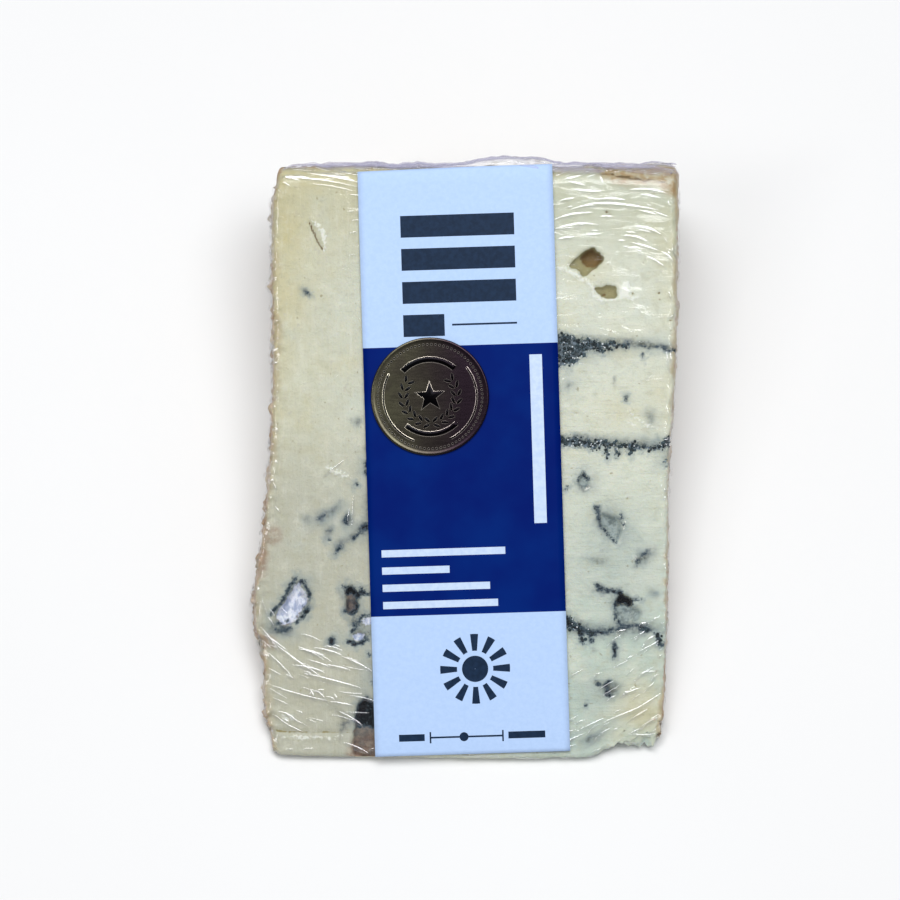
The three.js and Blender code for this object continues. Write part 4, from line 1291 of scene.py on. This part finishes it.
def makeLabel():
    us = np.linspace(0, label["width"], 27)
    vs = np.concatenate([np.linspace(0, 4, 7), np.linspace(5, 89, 57), np.linspace(90, 94, 9)])
    u, v = [g.ravel() for g in np.meshgrid(us, vs, indexing="ij")]
    quads = gridQuads(np.arange(len(u)).reshape(len(us), len(vs)))
    made = meshObject("paper_label", onLabel(u, v, 0.0), quads, [labelMaterial()], uv=np.stack([u, v], 1))
    addWall(made, label["thickness"])
    return made


labelPiece = makeLabel()
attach(labelPiece, "root")
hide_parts("front_label")


# --- the print: plain bars where lines of words would be, a sunburst and a scale line

printed = {
    "lift": 0.012,  # above the paper
    "heading": {"left": 6.6, "top": 86.4, "width": 18.2, "height": 3.5, "pitch": 5.3, "rows": 3,
                "short": 6.6, "rule": (7.8, 1.9, 1.6)},  # the last row's bar, and the thin rule beside it
    "upright": (26.6, 28.6, 36.6, 63.6),  # left, right, bottom and top
    "lines": {"left": 2.0, "top": 33.0, "height": 1.15, "pitch": 2.76, "widths": (19.8, 10.8, 17.2, 18.4)},
    "sunburst": {"middle": (16.4, 13.6), "disc": 2.1, "rays": 12, "inner": 2.9, "outer": 5.6, "half": 0.38},
    "scale": [(8.9, 20.5, 2.66, 2.94), (8.8, 9.05, 1.9, 3.7), (20.4, 20.65, 1.9, 3.7)],
    "scaleDot": (14.3, 2.8, 0.72, 24),
    "besideScale": [(3.9, 8.0, 2.3, 3.4), (21.4, 27.3, 2.3, 3.4)],
}


def bar(u0, u1, v0, v1):  # a grid of points, so that it follows the paper
    us = np.linspace(u0, u1, max(1, math.ceil((u1 - u0) / 1.5)) + 1)
    vs = np.linspace(v0, v1, max(1, math.ceil((v1 - v0) / 1.5)) + 1)
    return np.stack(np.meshgrid(us, vs, indexing="ij"), -1)


def disc(u, v, radius, sides=40):
    turns = np.linspace(0, math.tau, sides + 1)
    rings = np.linspace(radius, 0.04, max(2, math.ceil(radius / 0.8)))
    return np.stack([u + rings[:, None] * np.cos(turns), v + rings[:, None] * np.sin(turns)], -1)


def wedgeRay(u, v, turn, inner, outer, half):  # a ray of the sunburst, which widens outwards
    reach, side = np.linspace(inner, outer, 4)[:, None], np.array([-1, 0, 1])
    a = turn + side * half / inner * (inner / reach) ** 0.2
    return np.stack([u + reach * np.cos(a), v + reach * np.sin(a)], -1)


def printShapes():  # navy shapes and white shapes, in label millimetres
    head, lines, burst = printed["heading"], printed["lines"], printed["sunburst"]
    left, right = head["left"], head["left"] + head["width"]
    tops = [head["top"] - row * head["pitch"] for row in range(head["rows"] + 1)]
    navy = [bar(left, right, v - head["height"], v) for v in tops[:-1]]
    navy.append(bar(left, left + head["short"], tops[-1] - head["height"], tops[-1]))
    ruleIn, ruleLow, ruleHigh = head["rule"]
    navy.append(bar(left + ruleIn, right, tops[-1] - ruleLow, tops[-1] - ruleHigh))
    for k in range(burst["rays"]):
        turn = k * math.tau / burst["rays"]
        navy.append(wedgeRay(*burst["middle"], turn, burst["inner"], burst["outer"], burst["half"]))
    navy.append(disc(*burst["middle"], burst["disc"]))
    navy += [bar(*corners) for corners in printed["scale"]]
    navy.append(disc(*printed["scaleDot"]))
    navy += [bar(*corners) for corners in printed["besideScale"]]
    white = [bar(*printed["upright"])]
    for row, width in enumerate(lines["widths"]):
        v = lines["top"] - row * lines["pitch"]
        white.append(bar(lines["left"], lines["left"] + width, v - lines["height"], v))
    return navy, white


def inkMaterial(name, low, high, roughness):
    material, tree = newMaterial(name)
    point = tree.millimetres()
    paint = tree.mix(tree.shake(tree.noise(point, 1.2, 4, 0.6), 0.0, 1.0), low, high)
    finishMaterial(tree, {"Base Color": paint, "Roughness": roughness, "Specular IOR Level": 0.1,
                          "Normal": tree.bump(tree.noise(point, 3, 2), 0.00001, 0.4)})
    return material


def makePrint():
    points, faces, kinds = [], [], []
    for kind, shapes in enumerate(printShapes()):
        for shape in shapes:
            rows, columns = shape.shape[:2]
            cells = gridQuads(np.arange(rows * columns).reshape(rows, columns) + len(points))
            points += shape.reshape(-1, 2).tolist()
            faces += cells.tolist()
            kinds += [kind] * len(cells)
    u, v = np.array(points).T
    inks = [inkMaterial("navy_ink", colour(18, 38, 62), colour(26, 48, 76), 0.38),
            # painted light: the white ink is tinted pale blue for the cool light on it
            inkMaterial("white_ink", colour(196, 216, 246), colour(210, 228, 252), 0.4)]
    made = meshObject("label_print", onLabel(u, v, printed["lift"]), faces, inks, False)
    made.data.polygons.foreach_set("material_index", kinds)
    addWall(made, printed["lift"])
    return made


ink = makePrint()
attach(ink, "root")
print("label and print made")


# --- the seal

seal = {
    "turn": math.radians(3.0),
    # radius and height of the pressed profile, from the middle out and back under
    "profile": [(0.001, 0.10), (2.0, 0.10), (4.0, 0.10), (6.6, 0.10), (8.0, 0.10), (8.7, 0.09), (8.95, 0.11),
                (9.1, 0.14), (9.25, 0.14), (9.38, 0.10), (9.45, 0.04), (9.45, -0.08), (9.2, -0.1),
                (0.001, -0.1)],
    "sides": 128,
    "star": {"points": 5, "inner": 1.0, "outer": 2.5},
    # two bent bars and two thin arcs: start and end in degrees, and inner and outer radius
    "arcs": [(46, 134, 5.5, 6.4), (228, 312, 5.6, 6.4), (148, 247, 7.35, 7.62), (-67, 36, 7.35, 7.62)],
    "beads": {"count": 80, "ring": 8.35, "half": 0.15, "height": 0.1},
    "leaves": {"pairs": 8, "from": -80, "each": 17, "rows": ((4.75, 0.6), (3.75, -0.6)),
               "size": (0.6, 0.23, 0.11)},  # a row is its radius and how its leaves lean
}
sealLow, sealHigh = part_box("foil_seal")
sealMiddle = (np.array(sealLow) + np.array(sealHigh)) / 2 / mm - shift


def onSeal(u, v, height):
    u, v = np.asarray(u, float), np.asarray(v, float)
    cosine, sine = math.cos(seal["turn"]), math.sin(seal["turn"])
    return sealMiddle + onFace(u * cosine - v * sine, u * sine + v * cosine, height)


def foilMaterial(name, left, right, roughness):
    material, tree = newMaterial(name)
    point = tree.millimetres()
    # painted reflection: the foil goes from the left colour to the right one across X, as if the room
    # reflected in it; noise then mottles it towards the right colour
    reflectionAndMottle = tree.mix(tree.step(tree.split(point)["X"], -13, 0), left, right)
    reflectionAndMottle = tree.mix(tree.step(tree.noise(point, 0.35, 3, 0.6), 0.35, 0.65, 0.0, 0.35), reflectionAndMottle, right)
    brushed = tree.noise(tree.stretched((500, 3000, 3000)), 1, 3, 0.6)
    finishMaterial(tree, {
        "Base Color": reflectionAndMottle, "Metallic": 1.0, "Roughness": tree.shake(brushed, roughness, roughness + 0.04),
        "Normal": tree.bump(brushed, 0.000001, 0.2)})
    return material


def makeSeal():
    sides = seal["sides"]
    turns = np.arange(sides) * math.tau / sides
    r, h = np.array(seal["profile"]).T
    u = (r[:, None] * np.cos(turns)).ravel()
    v = (r[:, None] * np.sin(turns)).ravel()
    height = np.repeat(h, sides) + 0.02 * np.sin(u * 0.5)
    number = np.arange(len(u)).reshape(len(r), sides)
    ahead = np.roll(number, -1, 1)
    quads = np.stack([number[:-1], number[1:], ahead[1:], ahead[:-1]], -1).reshape(-1, 4).tolist()
    caps = [number[0].tolist(), number[-1][::-1].tolist()]
    # painted reflection: olive on the left fading to dark purple on the right
    foil = foilMaterial("bronze_foil", colour(84, 82, 66), colour(44, 34, 42), 0.2)
    return meshObject("foil_seal_disc", onSeal(u, v, height), quads + caps, [foil])


def ringPoints(radius, angles, height):
    return np.stack([radius * np.cos(angles), radius * np.sin(angles), height + 0 * angles], 1)


def makeRelief(name, material, grown, low, high):  # a star, plain bent bars and thin arcs, pressed up
    points, faces = [], []

    def addRings(rings, closed=True):  # rings of points, each joined to the next
        rings = np.array(rings)
        number = np.arange(rings.shape[0] * rings.shape[1]).reshape(rings.shape[:2]) + len(points)
        points.extend(rings.reshape(-1, 3).tolist())
        ahead = np.roll(number, -1, 1)
        quads = np.stack([number[:-1], ahead[:-1], ahead[1:], number[1:]], -1)
        faces.extend((quads if closed else quads[:, :-1]).reshape(-1, 4).tolist())
        return number

    tips = 2 * seal["star"]["points"]
    turns = np.arange(tips) * math.tau / tips + math.pi / 2
    inner, outer = seal["star"]["inner"] + grown, seal["star"]["outer"] + grown * 2.2
    reach = np.where(np.arange(tips) % 2, inner, outer)
    star = [ringPoints(reach * k, turns, h)
            for k, h in ((1.0, low), (0.97, high - 0.02), (0.9, high), (0.05, high + 0.03))]
    faces.append(addRings(star)[-1].tolist())
    for start, end, inner, outer in seal["arcs"]:
        spread = math.degrees(grown / inner)
        angles = np.radians(np.linspace(start - spread, end + spread, 44))
        inner, outer, turn = inner - grown, outer + grown, min(0.1, (outer - inner) / 4)
        section = [(inner, low), (inner + turn / 4, high - turn / 3), (inner + turn, high),
                   (outer - turn, high), (outer - turn / 4, high - turn / 3), (outer, low)]
        ends = np.sqrt(smooth(0, 0.03, np.linspace(0, 1, 44)) * smooth(1, 0.97, np.linspace(0, 1, 44)))
        addRings([ringPoints(r, angles, low + (h - low) * ends) for r, h in section], closed=False)
    u, v, height = np.array(points).T
    return meshObject(name, onSeal(u, v, height), faces, [material])


def stampTree():  # low ovals on points, each with its own size and the way it lies
    tree = Geometry("stamped_ovals", {"Segments": "Int", "Rings": "Int", "Material": "Material"})
    given = tree.given
    up, lie, size = [tree.named(name, "FLOAT_VECTOR") for name in ("up", "lie", "size")]
    oval = tree.add("GeometryNodeMeshUVSphere", {
        "Segments": given["Segments"], "Rings": given["Rings"], "Radius": 1.0})
    turn = tree.add("FunctionNodeAxesToRotation", {0: up, 1: lie}, primary_axis="Z", secondary_axis="X")
    placed = tree.add("GeometryNodeInstanceOnPoints", {
        "Points": given["Geometry"], "Instance": oval.outputs["Mesh"], "Rotation": turn.outputs[0],
        "Scale": size})
    tree.finish(tree.add("GeometryNodeSetShadeSmooth", {0: placed.outputs[0]}).outputs[0])
    return tree


def stampOvals(name, points, up, lie, size, material, segments=12, rings=6):  # sizes in millimetres
    guide = guideObject(name, points, [], {"up": up, "lie": lie, "size": np.asarray(size) * mm})
    made = stampMaker.bake(name, guide, {"Segments": segments, "Rings": rings, "Material": material})
    bpy.data.objects.remove(guide)
    return made


def sealOvals(height, grown):  # a ring of beads, and two sprays of leaves round the star
    u, v, turn, size = [], [], [], []
    beads, leaves = seal["beads"], seal["leaves"]
    for k in range(beads["count"]):
        a = k * math.tau / beads["count"]
        u.append(beads["ring"] * math.cos(a))
        v.append(beads["ring"] * math.sin(a))
        turn.append(a)
        size.append((beads["half"] + grown, beads["half"] + grown, beads["height"]))
    long, wide, tall = leaves["size"]
    for side in (-1, 1):
        for k in range(leaves["pairs"]):
            for reach, lean in leaves["rows"]:
                a = math.radians(leaves["from"] + k * leaves["each"])
                u.append(side * reach * math.cos(a))
                v.append(reach * math.sin(a))
                way = a + math.pi / 2 - lean
                turn.append(way if side > 0 else math.pi - way)
                size.append((long + grown, wide + grown, tall))
    turn = np.array(turn) + seal["turn"]
    return onSeal(u, v, height), np.tile(faceOut, (len(u), 1)), onFace(np.cos(turn), np.sin(turn)), size


stampMaker = stampTree()
sealPiece = makeSeal()
# painted highlight: a pale cream foil rim round the dark pressed shapes, standing in for their lit edges
highlightRimFoil = foilMaterial("foil_edge_painted_highlight", colour(214, 208, 186), colour(176, 164, 160), 0.22)
inkFoil = foilMaterial("dark_foil", colour(22, 24, 26), colour(14, 10, 14), 0.16)
pressings = (  # name, material, how far grown, low and high: the pale edge shows round the dark top as a painted highlight
    ("seal_relief_edge", highlightRimFoil, 0.085, 0.08, 0.17),
    ("seal_relief_top", inkFoil, 0.0, 0.14, 0.22),
)
for name, foil, grown, low, high in pressings:
    pieces = (makeRelief(name, foil, grown, low, high),
              stampOvals(name.replace("relief", "ovals"), *sealOvals(low + 0.04, grown), foil))
    for piece in pieces:
        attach(piece, "root")
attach(sealPiece, "root")
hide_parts("foil_seal")
print("seal made")


# --- table, light and camera

studio = {
    "lens": 200, "sensor": 36, "frameWidth": 144.0,
    "aim": (-2.2, 1.65),  # across and up the labelled face from the label's middle
    "lamps": [  # name, across, up and out from the aim, width, depth and watts
        ("window", 0.03, 0.27, 0.61, 0.56, 0.32, 3.7),
        ("side_window", -0.34, 0.02, 0.58, 0.08, 0.30, 0.5),
    ],
}


def makeBackdrop(scene):
    world = bpy.data.worlds.new("studio")
    scene.world = world
    world.use_nodes = True
    backdrop = world.node_tree.nodes["Background"]
    backdrop.inputs["Color"].default_value = (0.93, 0.96, 1.0, 1)
    backdrop.inputs["Strength"].default_value = 0.3


def makeTable():
    mesh = bpy.data.meshes.new("table")
    mesh.from_pydata([(-2, -2, 0), (2, -2, 0), (2, 2, 0), (-2, 2, 0)], [], [(0, 1, 2, 3)])
    material, tree = newMaterial("table_top")
    cloud = tree.noise(tree.stretched((9, 9, 9)), 1, 3)
    paint = tree.mix(cloud, (0.9, 0.9, 0.9, 1), (0.93, 0.93, 0.93, 1))
    finishMaterial(tree, {"Base Color": paint, "Roughness": 0.7})
    mesh.materials.append(material)
    return linked("table", mesh)


def makeCamera(scene, aim):
    data = bpy.data.cameras.new("camera")
    data.lens, data.sensor_width = studio["lens"], studio["sensor"]
    data.clip_start, data.clip_end = 0.05, 20
    camera = linked("camera", data)
    camera.location = aim + faceOut * studio["frameWidth"] * mm * studio["lens"] / studio["sensor"]
    camera.rotation_euler = (form["wedgeAngle"], 0, 0)
    scene.camera = camera


def makeLamps(aim):
    for name, across, up, out, width, depth, watts in studio["lamps"]:
        lamp = bpy.data.lights.new(name, "AREA")
        lamp.shape, lamp.size, lamp.size_y, lamp.energy = "RECTANGLE", width, depth, watts
        holder = linked(name, lamp)
        place = aim + onFace(across, up, out)
        holder.location = place
        holder.rotation_euler = (Vector(place) - Vector(aim)).to_track_quat("Z", "Y").to_euler()


def makeStudio():
    scene = bpy.context.scene
    scene.view_settings.view_transform = "Standard"
    scene.view_settings.look = "None"
    scene.cycles.transparent_max_bounces = 16
    makeBackdrop(scene)
    table = makeTable()
    table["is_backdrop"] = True
    aim = toFrame(labelMiddle + onFace(*studio["aim"]))
    makeCamera(scene, aim)
    makeLamps(aim)


makeStudio()
print("studio made")

low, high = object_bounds()
